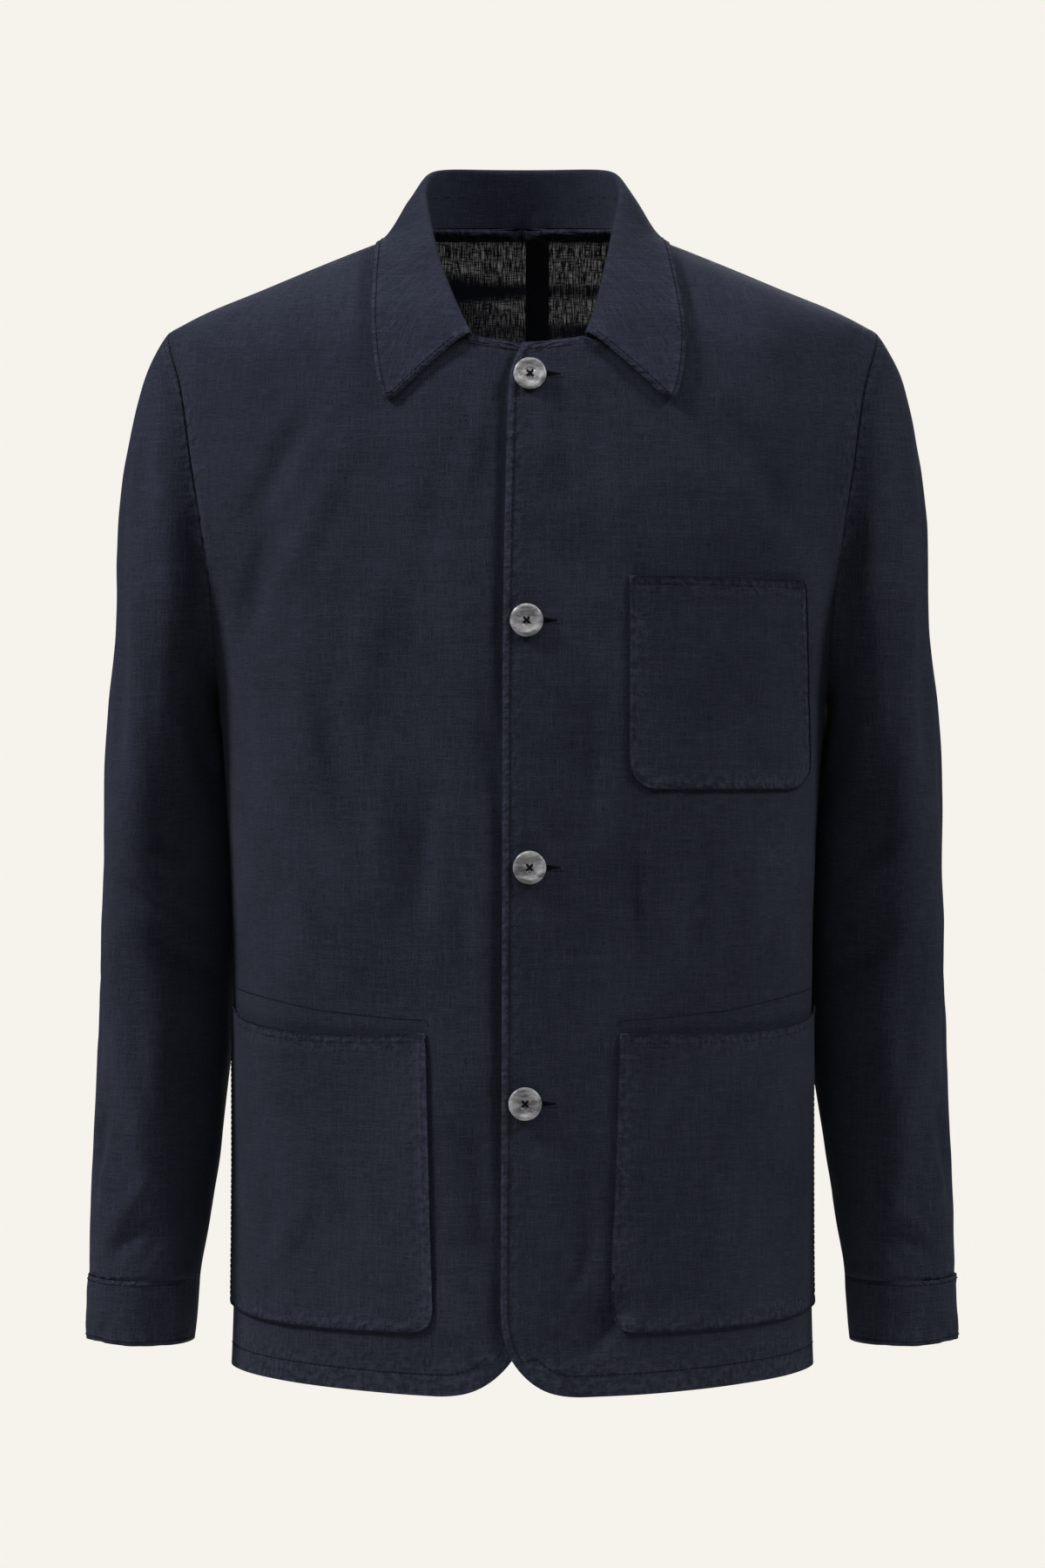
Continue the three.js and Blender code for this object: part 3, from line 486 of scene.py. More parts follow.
# %% [markdown]
# The distance goes onto the mesh as attributes, which the cloth's material
# reads. "fold" counts from a finished edge and is 1 at the line of stitches, or
# on a pocket where the cloth turned in ends. "seam" is in metres. Another
# attribute, "weave", lays the threads along the cloth: across and up it.
# %% Measure every point of the cloth
FAR = 0.2  # metres to a seam, on a piece that has none
FAR_FOLD = 10  # "fold" on a piece that has no finished edge
FLAT_TO = 0.1  # half the width over which the body is nearly flat
TURNING = 0.08  # the width over which it then turns
DEEP = 0.12  # half the body's depth
ROUND_SLEEVE = 0.052  # a sleeve's radius
ROUND_NECK = 0.09
NECK_FRONT = 0.02  # how far the neck's middle lies in front of the origin
COLLAR_UP = 1.3  # the collar slopes, so its cloth is longer than it is high
SLEEVE_MIDDLE = (0.236, 0.0)


def weave_place(node, p):
    """Where a point lies on its flat cloth: across the threads, and up them."""
    if node.startswith(("sleeve", "cuff")):
        side = 1 if p.x > 0 else -1
        turn = math.atan2(p.y - SLEEVE_MIDDLE[1], side * p.x - SLEEVE_MIDDLE[0])
        return Vector((ROUND_SLEEVE * turn, p.z, 0))
    if node.startswith("collar"):
        return Vector((ROUND_NECK * math.atan2(p.x, p.y + NECK_FRONT), COLLAR_UP * p.z, p.y))
    side = 1 if p.x > 0 else -1
    turned = min(1, max(0, (abs(p.x) - FLAT_TO) / TURNING))
    return Vector((p.x + side * turned * (DEEP - abs(p.y)), p.z, 0))


def measure_folds(node, mesh, fold):
    """Writes how far each point is from a finished edge."""
    finished = [p for p in edges[node].values() if not p.sewn]
    tree = tree_of([p.place for p in finished])
    for vertex in mesh.vertices:
        _, at, away = tree.find(vertex.co)
        fold.data[vertex.index].value = FAR_FOLD
        if finished:
            fold.data[vertex.index].value = away / FOLDED.get(node, finished[at].inset)


def measure_seams(node, mesh, seam):
    """Writes how far each point is from a seam. The collar's seams lie flat."""
    sewn = [p.place for p in edges[node].values() if p.sewn and not node.startswith("collar")]
    tree = tree_of(sewn)
    for vertex in mesh.vertices:
        seam.data[vertex.index].value = tree.find(vertex.co)[2] if sewn else FAR


for node, piece in cloth.items():
    mesh = piece.data
    for name, kind in (("fold", "FLOAT"), ("seam", "FLOAT"), ("weave", "FLOAT_VECTOR")):
        mesh.attributes.new(name, kind, "POINT")
    measure_folds(node, mesh, mesh.attributes["fold"])
    measure_seams(node, mesh, mesh.attributes["seam"])
    for vertex in mesh.vertices:
        mesh.attributes["weave"].data[vertex.index].vector = weave_place(node, vertex.co)
print("measured", sum(len(piece.data.vertices) for piece in cloth.values()), "points")

# %% [markdown]
# ## Soft creases
#
# Linen creases wherever it has been bent, so the creases are placed one by one, in
# tables: where each one lies, how it leans, its length and width, and how far it
# stands out (or sinks in, below nothing). The same bend moves the two faces of the
# wall, the pockets and the cloth under them, so nothing comes apart.
# %% Creases of the body
# Sizes in millimetres, angles in degrees from the vertical.
BODY_CREASES = [
    # facing, x, z, lean, long, wide, high
    (-1, -150, -150, -28, 120, 14, -4.4),
    (-1, -128, -182, -24, 150, 13, 3.6),
    (-1, -168, -232, -12, 110, 13, -4.0),
    (-1, -96, -268, -6, 170, 15, 3.2),
    (-1, -118, -330, 10, 150, 16, -4.9),
    (-1, -86, -386, 2, 130, 13, 4.4),
    (-1, -62, -402, -5, 140, 12, -3.8),
    (-1, -140, -420, 8, 120, 13, 3.2),
    (-1, -36, -452, 6, 120, 11, -3.2),
    (-1, -22, -330, 4, 120, 10, -2.5),
    (-1, -28, -610, 3, 150, 12, -4.0),
    (-1, -40, -690, 30, 80, 12, 3.6),
    (-1, 34, -640, -3, 160, 11, -3.8),
    (-1, 48, -686, -42, 66, 15, -7.0),
    (-1, 36, -668, -30, 70, 12, 4.4),
    (-1, 40, -352, -4, 130, 12, -3.0),
    (-1, 84, -400, -3, 150, 14, 4.0),
    (-1, 70, -436, 5, 120, 12, -4.0),
    (-1, 108, -420, -6, 130, 13, -3.6),
    (-1, 146, -430, -8, 120, 13, 3.2),
    (-1, -104, -570, 4, 330, 74, -8.1),
    (-1, -150, -640, -30, 90, 12, 2.8),
    (-1, -112, -606, 24, 100, 12, -2.5),
    (-1, 126, -600, -12, 160, 14, 3.0),
    (-1, 92, -560, -20, 110, 12, -2.8),
    (-1, 150, -160, 26, 120, 14, -4.0),
    (-1, 118, -176, 22, 130, 13, 3.0),
    (-1, 26, -140, 12, 90, 10, -2.8),
    (-1, 60, -180, 8, 120, 13, 2.5),
    (-1, -30, -140, -10, 100, 11, 2.8),
    (-1, -56, -196, -6, 130, 13, -2.8),
    (1, -60, -120, -16, 120, 16, 3.8),
    (1, -128, -150, -34, 130, 15, -4.9),
    (1, -150, -214, -24, 120, 14, 3.8),
    (1, -104, -262, -14, 150, 15, -4.0),
    (1, -58, -330, -4, 190, 16, 4.4),
    (1, -112, -420, 6, 170, 16, -4.9),
    (1, -36, -470, 3, 180, 14, -3.8),
    (1, -84, -570, -5, 180, 15, 4.0),
    (1, -140, -600, 8, 150, 14, -3.8),
    (1, 56, -126, 15, 120, 16, 3.8),
    (1, 124, -158, 32, 130, 15, -4.9),
    (1, 148, -220, 22, 120, 14, 3.8),
    (1, 98, -280, 12, 150, 15, -4.0),
    (1, 62, -350, 5, 190, 16, 4.0),
    (1, 108, -440, -6, 170, 16, -4.9),
    (1, 32, -500, -3, 170, 14, -3.6),
    (1, 90, -590, 4, 180, 15, 4.0),
    (1, 142, -560, -7, 150, 14, -3.8),
]
print(len(BODY_CREASES), "creases on the body")

# %% Bend the body's cloth
SOFT = 0.0036  # height of the slow folds that hang down the cloth
SOFT_ACROSS = 15  # of them in a metre
SOFT_DOWN = 4.5
FINE = 0.0006  # height of the small uneven places
FINE_CLOSE = 40
CALM = 0.035  # nearer to an armhole or the neck the cloth moves less
CORE = 0.12  # outward is away from a flat core, this wide to each side, this far down
SIDE_DEPTH = 0.03  # the front's creases fade out at the sides over this


def bump(distance):
    """1 in the middle of a crease, falling smoothly to 0 at its border."""
    d = min(abs(distance), 1)
    return (1 - d * d) ** 2


def crease_height(across, up, row_lean, long, wide):
    """The height of one crease, as a share of its greatest."""
    lean = math.radians(row_lean)
    side = across * math.cos(lean) + up * math.sin(lean)
    along = up * math.cos(lean) - across * math.sin(lean)
    return bump(side / wide) * bump(along / (long / 2))


def still_places():
    """The seams that creases stop at: the armholes and the neck."""
    places = []
    for node in ("sleeve_left", "sleeve_right", "collar_band"):
        places += [p.place for p in edges[node].values() if p.sewn and p.place.z > -0.4]
    return places


still = tree_of(still_places())


def calm(p):
    """0 at those seams, and 1 from a little way off."""
    near = min(1, still.find(p)[2] / CALM)
    return near * near * (3 - 2 * near)


def unevenness(place):
    """Slow folds that run downwards, and small uneven places."""
    hanging = Vector((place.x * SOFT_ACROSS, place.y * SOFT_ACROSS, place.z * SOFT_DOWN))
    return SOFT * noise.noise(hanging) + FINE * noise.noise(place * FINE_CLOSE)


def body_height(x, z, facing):
    """How far the cloth of the body is moved out, in metres."""
    height = 0
    for side, cx, cz, lean, long, wide, high in BODY_CREASES:
        if side == facing and abs(z * 1000 - cz) < long:
            height += high * crease_height(x * 1000 - cx, z * 1000 - cz, lean, long, wide)
    return height / 1000 + unevenness(Vector((x, facing, z)))


def outward(p):
    """Away from the wearer, as the walls of the solids run."""
    middle = Vector((min(max(p.x, -CORE), CORE), 0, min(p.z, -CORE)))
    return (p - middle).normalized()


def body_moved(p):
    """Where the creases take a point of the body's cloth."""
    facing = 1 if p.y > 0 else -1
    side = min(1, abs(p.y) / SIDE_DEPTH)
    return p + outward(p) * (calm(p) * side * body_height(p.x, p.z, facing))


# %% [markdown]
# Three things settle before the cloth is creased. The collar's outer edge comes
# down on the shoulder. Each pocket comes down on the front under it, and its
# wall is made thin. The right front sinks where the left one's edge lies on it.
# %% Settle the collar, the pockets and the overlap
LEAF_DOWN = 0.0024  # how far the collar's outer edge settles on the shoulder
LEAF_AT = (0.0925, -0.003)  # x and z of the middle of where it does
LEAF_ROUND = 0.034  # how far round that place
PRESSED_POCKET = 0.00025  # how far a pocket is pressed to the front under it
THINNED_POCKET = 0.0011  # how much thinner its wall is made
UNDER_EDGE = 0.0022  # how far the right front sinks under the left one's edge
UNDER_WIDE = 0.008  # how far from that edge it does
OVERLAP_X = 0.02  # the left front's edge lies this near to the middle
POCKETS = ("chest_pocket", "pocket_left", "pocket_right")

for vertex in cloth["collar_leaf"].data.vertices:
    aside = math.hypot(abs(vertex.co.x) - LEAF_AT[0], vertex.co.z - LEAF_AT[1])
    vertex.co.z -= LEAF_DOWN * bump(aside / LEAF_ROUND)


def press_pocket(piece):
    """Brings a pocket to the front under it, and makes its wall thin."""
    mesh = piece.data
    outside = [polygon for polygon in mesh.polygons if polygon.material_index == OUTSIDE]
    outer = {i for polygon in outside for i in polygon.vertices}
    for vertex in mesh.vertices:
        down = PRESSED_POCKET + (THINNED_POCKET if vertex.index in outer else 0)
        vertex.co -= down * outward(vertex.co)


for node in POCKETS:
    press_pocket(cloth[node])

free = [p.place for p in edges["front_left"].values() if not p.sewn]
meeting = [place for place in free if abs(place.x) < OVERLAP_X]
overlap = tree_of(meeting)
for vertex in cloth["front_right"].data.vertices:
    near = bump(overlap.find(vertex.co)[2] / UNDER_WIDE)
    vertex.co -= UNDER_EDGE * near * outward(vertex.co)
print(len(meeting), "edge points of the left front lie on the right one")

# %% Crease the body
for node in PANELS + POCKETS + ("back_binding",):
    for vertex in cloth[node].data.vertices:
        vertex.co = body_moved(vertex.co)
print("creased", len(PANELS + POCKETS), "pieces of the body and the binding")

# %% [markdown]
# The sleeves hang in a bend, so they crease across the inside of the elbow and
# slantwise above the cuff. Their creases are placed by the angle round the arm,
# from the outer side towards the front, and by height.
# %% Creases of the sleeves
SLEEVE_CREASES = [
    # side (0 is both), turn, z, lean, long, wide, high
    (0, 70, -150, 10, 120, 13, -4.6),
    (0, 40, -190, 6, 150, 14, 4.0),
    (0, 96, -230, 14, 110, 12, 3.5),
    (0, 60, -290, 4, 170, 13, -4.6),
    (0, 30, -330, -3, 180, 13, 4.0),
    (0, 112, -330, 20, 110, 12, -4.0),
    (1, 84, -400, 48, 70, 9, 4.6),
    (-1, 78, -392, 52, 76, 9, 4.6),
    (0, 80, -426, 56, 70, 9, -5.2),
    (1, 78, -446, 44, 56, 9, 4.0),
    (-1, 76, -452, 50, 56, 9, 4.0),
    (0, 100, -462, 62, 76, 9, -4.3),
    (0, 38, -500, 8, 130, 12, -3.8),
    (0, 74, -540, 12, 140, 12, 3.8),
    (0, 50, -586, -14, 100, 11, -4.3),
    (1, 84, -628, -40, 70, 9, 4.3),
    (-1, 78, -620, -36, 76, 9, 4.3),
    (0, 78, -642, -46, 50, 8, -3.8),
    (0, 106, -646, -34, 60, 8, 3.2),
    (0, 60, -612, 30, 50, 8, 2.7),
    (0, 94, -250, 3, 300, 19, 6.2),
    (0, 88, -560, -3, 210, 16, 4.0),
    (0, 84, -706, 22, 60, 6, 2.2),
    (0, 62, -700, -28, 50, 6, -2.4),
    (0, 108, -708, 16, 50, 6, -2.0),
    (0, 40, -704, 30, 50, 6, 1.8),
    (0, 270, -704, -14, 60, 7, -2.2),
    (0, 300, -170, -10, 140, 14, -4.6),
    (0, 262, -240, -16, 130, 13, 4.0),
    (0, 290, -320, -6, 170, 13, -4.3),
    (0, 250, -390, -20, 110, 12, 4.0),
    (0, 312, -420, 4, 160, 13, 3.5),
    (0, 276, -480, -8, 150, 13, -4.0),
    (0, 300, -560, 6, 140, 12, 3.8),
    (0, 262, -610, 20, 90, 10, -3.8),
]
print(len(SLEEVE_CREASES), "creases on the sleeves")

# %% Bend the sleeves' cloth
SLEEVE_LINE = [
    # z, x, y of a sleeve's middle, in metres from the cuff up
    (-0.72, 0.242, -0.026),
    (-0.6, 0.236, 0.0),
    (-0.46, 0.23, 0.026),
    (-0.35, 0.228, 0.024),
    (-0.06, 0.214, 0.003),
]
PRESSED = 0.0078  # how far the inside of the upper arm is pressed to the body
PRESSED_AT = -0.37
PRESSED_LONG = 0.21
PRESSED_WIDE = 0.03
THIN_ARM = 0.01  # no point counts as nearer to a sleeve's middle


def sleeve_middle(z):
    """The middle of a sleeve at a height: it swings back, then forward."""
    for (z0, x0, y0), (z1, x1, y1) in zip(SLEEVE_LINE, SLEEVE_LINE[1:]):
        if z <= z1:
            t = max(0, (z - z0) / (z1 - z0))
            return x0 + t * (x1 - x0), y0 + t * (y1 - y0)
    return SLEEVE_LINE[-1][1:]


def pressed(p, away_x):
    """The inside of the upper sleeve lies against the body."""
    inner = min(1, max(0, -away_x / PRESSED_WIDE))
    return PRESSED * inner * bump((p.z - PRESSED_AT) / PRESSED_LONG)


def sleeve_height(z, away, side):
    """How far the cloth of a sleeve is moved out by its creases, in metres."""
    turn = math.degrees(math.atan2(-away.y, away.x)) % 360
    radius = away.length * 1000
    height = 0
    for only, at, cz, lean, long, wide, high in SLEEVE_CREASES:
        if only in (0, side) and abs(z * 1000 - cz) < long:
            round_arm = math.radians((turn - at + 180) % 360 - 180) * radius
            height += high * crease_height(round_arm, z * 1000 - cz, lean, long, wide)
    return height / 1000


def sleeve_moved(p):
    """Where the creases take a point of a sleeve's cloth."""
    side = 1 if p.x > 0 else -1
    x, y = sleeve_middle(p.z)
    away = Vector((side * p.x - x, p.y - y))
    height = sleeve_height(p.z, away, side) + unevenness(p)
    height = calm(p) * height / max(away.length, THIN_ARM)
    inwards = Vector((-side * pressed(p, away.x), 0, 0))
    return p + Vector((side * away.x, away.y, 0)) * height + inwards


SLEEVES = ("sleeve_left", "sleeve_right", "cuff_left", "cuff_right")
for node in SLEEVES:
    for vertex in cloth[node].data.vertices:
        vertex.co = sleeve_moved(vertex.co)
print("bent", len(SLEEVES), "pieces of the sleeves")

# %% [markdown]
# ## The linen
#
# Linen yarn is uneven: thick places, called slubs, run along the threads both
# ways. Three group outputs describe it: a tone, a height for the bump and the
# gaps between the threads. The gaps close in broad level bands, which is painted
# shade of creases in the back. The group stretches noise along each thread.
# %% Node helpers
def group_of(name, inputs, outputs):
    """A group. Its inputs are floats with these defaults, or vectors where there is none."""
    tree = bpy.data.node_groups.new(name, "ShaderNodeTree")
    for label, value in inputs.items():
        kind = "NodeSocketVector" if value is None else "NodeSocketFloat"
        socket = tree.interface.new_socket(name=label, in_out="INPUT", socket_type=kind)
        if value is not None:
            socket.default_value = value
    for label in outputs:
        tree.interface.new_socket(name=label, in_out="OUTPUT", socket_type="NodeSocketFloat")
    return tree, tree.nodes.new("NodeGroupInput").outputs, tree.nodes.new("NodeGroupOutput").inputs


def calculate(tree, operation, *values):
    """A Math node's result. Each value is a socket or a plain number."""
    return node_of(tree, "Math", dict(enumerate(values)), operation=operation)[0]


def weighted(tree, *parts):
    """The sum of several values, each times its weight."""
    total = 0
    for value, weight in parts:
        total = calculate(tree, "MULTIPLY_ADD", value, weight, total)
    return total


def stretched_noise(tree, place, stretch, detail=2, roughness=0.5):
    """Noise with so many waves to a metre along each direction."""
    scaled = node_of(tree, "VectorMath", {0: place, 1: stretch}, operation="MULTIPLY")[0]
    inputs = {"Vector": scaled, "Scale": 1, "Detail": detail, "Roughness": roughness}
    return node_of(tree, "TexNoise", inputs)["Fac"]


def ramp(tree, value, low, high):
    """0 below low, 1 above high, and a straight line between."""
    return node_of(tree, "MapRange", {"Value": value, "From Min": low, "From Max": high})["Result"]


def mixed(tree, factor, dark, light):
    """A colour between two: dark where the factor is 0, light where it is 1."""
    inputs = {"Factor": factor, "A": dark, "B": light}
    return node_of(tree, "Mix", inputs, data_type="RGBA")["Result"]


def attribute(tree, name, kind="Fac"):
    """A value that a mesh carries at its points."""
    return node_of(tree, "Attribute", {}, attribute_name=name)[kind]


# %% The linen group
THREADS = 1250  # threads in a metre
SLUB = 75  # slubs in a metre, along a thread
BROAD = 340  # coarser threads in a metre, which show from further off
BROAD_SLUB = 14
GRAIN = 900  # small specks in a metre
CLOUDS = 16  # soft patches in a metre


def linen_nodes():
    """The tone, the height and the gaps of cloth woven from slubby yarn, with painted shade in bands.
    """
    outputs = ("Tone", "Height", "Gaps_And_Shade")
    tree, given, result = group_of("slubby_linen", {"Place": None}, outputs)
    place = given["Place"]
    warp = stretched_noise(tree, place, (THREADS, SLUB, 1), detail=1)
    weft = stretched_noise(tree, place, (SLUB, THREADS, 1), detail=1)
    broad_warp = stretched_noise(tree, place, (BROAD, BROAD_SLUB, 1))
    broad_weft = stretched_noise(tree, place, (BROAD_SLUB, BROAD, 1))
    grain = stretched_noise(tree, place, (GRAIN, GRAIN, 1), roughness=0.7)
    cloud = stretched_noise(tree, place, (CLOUDS, CLOUDS, CLOUDS), detail=3)
    threads = calculate(tree, "MAXIMUM", warp, weft)
    fine = weighted(tree, (threads, 0.6), (grain, 0.55))
    tone = weighted(tree, (broad_warp, 0.12), (broad_weft, 0.12), (cloud, 0.25), (fine, 1))
    tree.links.new(ramp(tree, tone, 0.55, 1.1), result["Tone"])
    tree.links.new(fine, result["Height"])
    between_warp = ramp(tree, stretched_noise(tree, place, (1500, 120, 1)), 0.4, 0.6)
    between_weft = ramp(tree, stretched_noise(tree, place, (150, 1500, 1), detail=1), 0.28, 0.5)
    # broad level bands where the gaps close, so less light shows through: painted shade of creases
    shade_bands = ramp(tree, stretched_noise(tree, place, (4, 48, 1), detail=1), 0.34, 0.5)
    crossing = calculate(tree, "MULTIPLY", between_warp, between_weft)
    tree.links.new(calculate(tree, "MULTIPLY", crossing, shade_bands), result["Gaps_And_Shade"])
    return tree


linen_group = linen_nodes()

# %% [markdown]
# The second group draws what sewing does to cloth near an edge: the folded
# edge stands up, the row of stitches pulls a groove, and small puckers cross it.
# It also paints a paler highlight on the tops of the puckers near an edge.
# %% The sewn edge group
def edge_nodes():
    """The height of cloth near an edge or a seam, and a painted highlight on its puckers."""
    inputs = {"Fold": 10, "Seam": 1, "Place": None}
    tree, given, result = group_of("sewn_edge", inputs, ("Height", "Pucker_Highlight"))
    fold, seam = given["Fold"], given["Seam"]
    raised = ramp(tree, fold, 1.35, 0.95)
    groove = calculate(tree, "MULTIPLY", ramp(tree, fold, 0.72, 1), ramp(tree, fold, 1.3, 1.02))
    sunk = ramp(tree, seam, 0.004, 0)
    pucker = stretched_noise(tree, given["Place"], (210, 210, 1), detail=1)
    near = ramp(tree, fold, 3.2, 0.9)
    near_seam = ramp(tree, seam, 0.012, 0.001)
    rough = calculate(tree, "MULTIPLY", pucker, calculate(tree, "MAXIMUM", near, near_seam))
    height = weighted(tree, (raised, 1), (groove, -0.6), (sunk, -0.45), (rough, 1.7))
    tree.links.new(height, result["Height"])
    # paler where the puckers near an edge rise: a painted highlight
    pucker_highlight = calculate(tree, "MULTIPLY", ramp(tree, fold, 2.4, 0.5), ramp(tree, pucker, 0.44, 0.66))
    tree.links.new(pucker_highlight, result["Pucker_Highlight"])
    return tree


edge_group = edge_nodes()

# %% The linen material
NAVY_DARK = (0.0025, 0.003, 0.0056, 1)
NAVY_LIGHT = (0.026, 0.0295, 0.046, 1)
MATT = {
    "Roughness": 0.92,
    "Specular IOR Level": 0.04,
    "Sheen Weight": 0.03,
    "Sheen Roughness": 0.6,
    "Sheen Tint": (0.5, 0.58, 0.75, 1),
}
PUCKER_HIGHLIGHT = 0.38  # how much paler the painted highlight on the puckers makes the cloth at the edges
EDGE_HEIGHT = 0.001
THREAD_HEIGHT = 0.00035


def linen(name, dark, light, gaps=0):
    """Slubby linen between two tones. gaps is how much light it lets through."""
    material, tree, shader = new_material(name, MATT)
    place = attribute(tree, "weave", "Vector")
    weave = node_of(tree, "Group", {"Place": place}, node_tree=linen_group)
    distances = {"Fold": attribute(tree, "fold"), "Seam": attribute(tree, "seam")}
    sewing = node_of(tree, "Group", {"Place": place, **distances}, node_tree=edge_group)
    # the tone takes in the painted highlight on the puckers near the edges
    tone = weighted(tree, (sewing["Pucker_Highlight"], PUCKER_HIGHLIGHT), (weave["Tone"], 1))
    tree.links.new(mixed(tree, tone, dark, light), shader.inputs["Base Color"])
    edge = {"Height": sewing["Height"], "Distance": EDGE_HEIGHT, "Strength": 1}
    edge_bump = node_of(tree, "Bump", edge)[0]
    threads = {"Height": weave["Height"], "Distance": THREAD_HEIGHT, "Strength": 0.6}
    bump_of_both = node_of(tree, "Bump", {**threads, "Normal": edge_bump})[0]
    tree.links.new(bump_of_both, shader.inputs["Normal"])
    if gaps:
        opaque = calculate(tree, "MULTIPLY_ADD", weave["Gaps_And_Shade"], -gaps, 1)
        tree.links.new(opaque, shader.inputs["Alpha"])
    return material


navy = linen("navy_linen", NAVY_DARK, NAVY_LIGHT)
sheer = linen("sheer_navy_linen", NAVY_DARK, NAVY_LIGHT, gaps=0.31)
tape = linen("seam_tape_cloth", (0.004, 0.005, 0.007, 1), (0.012, 0.013, 0.017, 1))
for node, piece in cloth.items():
    material = {"back_left": sheer, "back_right": sheer, "back_binding": tape}.get(node, navy)
    for slot in range(3):
        piece.data.materials[slot] = material

# %% [markdown]
# ## Stitches
#
# A row of stitches is a run of short raised threads with small gaps. One low
# shape is made and laid along each edge line, moved in by the row's inset, so
# the row follows its edge round every corner. All rows of a piece are one mesh.
# %% Lay the stitches
TWIST = 2500  # darker and paler places in a metre of thread
STITCH = 0.0026
STITCH_STEP = 0.0034
THREAD = 0.00034
THREAD_OUT = 0.00008  # of the thread's middle above the cloth
ASIDE = 0.001  # the cloth is looked for from this far outside
REACH = 0.006  # a stitch this far from the cloth is left out
SHORT = 0.001  # and so is a shorter step than this
SHORT_RUN = 12  # a run of fewer edge points gets no row
CORNER_KEPT = 0.85  # no place is nearer to the border than this share of the inset


def runs_of(points, sewn_too):
    """The edge points of a piece, in order, as open or closed runs."""
    left = {i for i, p in points.items() if p.side == OUTSIDE and (sewn_too or not p.sewn)}
    runs = []
    while left:
        ends = [i for i in left if sum(n in left for n in points[i].neighbours) < 2]
        run = [min(ends) if ends else min(left)]
        left.remove(run[0])
        while True:
            onward = [n for n in points[run[-1]].neighbours if n in left]
            if not onward:
                break
            run.append(onward[0])
            left.remove(onward[0])
        runs.append([points[i] for i in run])
    return runs


def spaced(places, step):
    """Places at even steps along a line."""
    result = []
    spare = 0.0
    for start, end in zip(places, places[1:]):
        length = (end - start).length
        while spare < length:
            result.append(start.lerp(end, spare / length))
            spare += step
        spare -= length
    return result


def surface_of(node):
    """A search tree that finds the nearest cloth, or what a ray meets."""
    mesh = cloth[node].data
    return BVHTree.FromPolygons([v.co for v in mesh.vertices], [p.vertices for p in mesh.polygons])


def add_rod(bm, matrix, sides, length, radius, end_radius=None):
    """A closed rod along the Z of a matrix, which may run to another radius."""
    radii = {"radius1": radius, "radius2": end_radius or radius}
    bmesh.ops.create_cone(bm, cap_ends=True, segments=sides, depth=length, matrix=matrix, **radii)


def add_stitch(bm, place, along, normal):
    """A low thread that lies on the cloth."""
    side = normal.cross(along).normalized()
    turn = Matrix((along, side, normal)).transposed().to_4x4()
    turn.translation = place
    add_rod(bm, turn @ Matrix.Rotation(math.pi / 2, 4, "Y"), 5, STITCH, THREAD)


def lay_row(bm, line, surface):
    """Lays stitches along a line, on the nearest cloth. Returns their number."""
    laid = 0
    places = spaced(line, STITCH_STEP)
    for a, b in zip(places, places[1:]):
        outside = Vector((a.x, a.y, 0)).normalized() * ASIDE
        place, normal, _, away = surface.find_nearest(a + outside)
        if place is None or away > REACH or (b - a).length < SHORT:
            continue
        along = (b - a).normalized()
        along = (along - along.dot(normal) * normal).normalized()
        add_stitch(bm, place + normal * THREAD_OUT, along, normal)
        laid += 1
    return laid


def thread_piece(name, mesh, material):
    """A piece of thread work, sewn to the cloth."""
    piece = new_piece(name, mesh)
    mesh.materials.append(material)
    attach(piece, "root")


def stitch_edges(node, moved):
    """Lays rows of stitches along a piece's finished edges."""
    bm = bmesh.new()
    surface = surface_of(node)
    border = tree_of(edge_lines[node])
    rows = 0
    for run in runs_of(edges[node], node.startswith("cuff")):
        if len(run) < SHORT_RUN:
            continue
        inner = [(p.place + p.inward * p.inset, p.inset) for p in run]
        line = [moved(place) for place, inset in inner if border.find(place)[2] > CORNER_KEPT * inset]
        rows += lay_row(bm, line, surface)
    name = cloth[node].name + "_stitches"
    print(name, rows, "stitches")
    thread_piece(name, mesh_from(bm, name), thread)


def plain(name, colour, roughness):
    """One plain tone, a little uneven, as thread has."""
    constants = {"Roughness": roughness, "Specular IOR Level": 0.05}
    material, tree, shader = new_material(name, constants)
    place = node_of(tree, "TexCoord", {})["Object"]
    twist = stretched_noise(tree, place, (TWIST, TWIST, TWIST))
    dark, light = (tuple(share * c for c in colour) + (1,) for share in (0.6, 1.4))
    tree.links.new(mixed(tree, twist, dark, light), shader.inputs["Base Color"])
    return material


def as_it_is(p):
    """The collar isn't bent."""
    return p


def mover(node):
    """The bend that a node's cloth was given."""
    if node.startswith("collar"):
        return as_it_is
    return sleeve_moved if node.startswith(("cuff", "sleeve")) else body_moved


thread = plain("navy_thread", (0.009, 0.0105, 0.017), 0.8)
for node in INSETS:
    stitch_edges(node, mover(node))

# %% [markdown]
# Behind each lower pocket's opening the front is doubled by a facing, and the
# line that holds it runs a little above the opening. Inside the neck, a row of
# stitches holds the stand.
# %% Stitch the facings and the stand
FACING_LINE = [(183, -483), (154, -489), (127, -494), (82, -498), (59, -499), (57.5, -507)]
STAND_LINE = [(-56, 36), (-30, 32), (0, 30), (30, 32), (56, 36)]


def cast_row(bm, surface, corners, start_y):
    """A row of stitches through corners given as x and z, cast backwards."""
    flat = [Vector((x / 1000, start_y, z / 1000)) for x, z in corners]
    hits = [surface.ray_cast(place, Vector((0, 1, 0)))[0] for place in spaced(flat, STITCH_STEP / 2)]
    return lay_row(bm, [hit for hit in hits if hit], surface)


bm = bmesh.new()
laid = cast_row(bm, surface_of("front_left"), FACING_LINE, -1)
laid += cast_row(bm, surface_of("front_right"), [(-x, z) for x, z in FACING_LINE], -1)
laid += cast_row(bm, surface_of("collar_band"), STAND_LINE, 0)
laid += cast_row(bm, surface_of("collar_leaf"), STAND_LINE, 0)
thread_piece("facing_stitches", mesh_from(bm, "facing_stitches"), thread)
print(laid, "stitches on the facings and the stand")

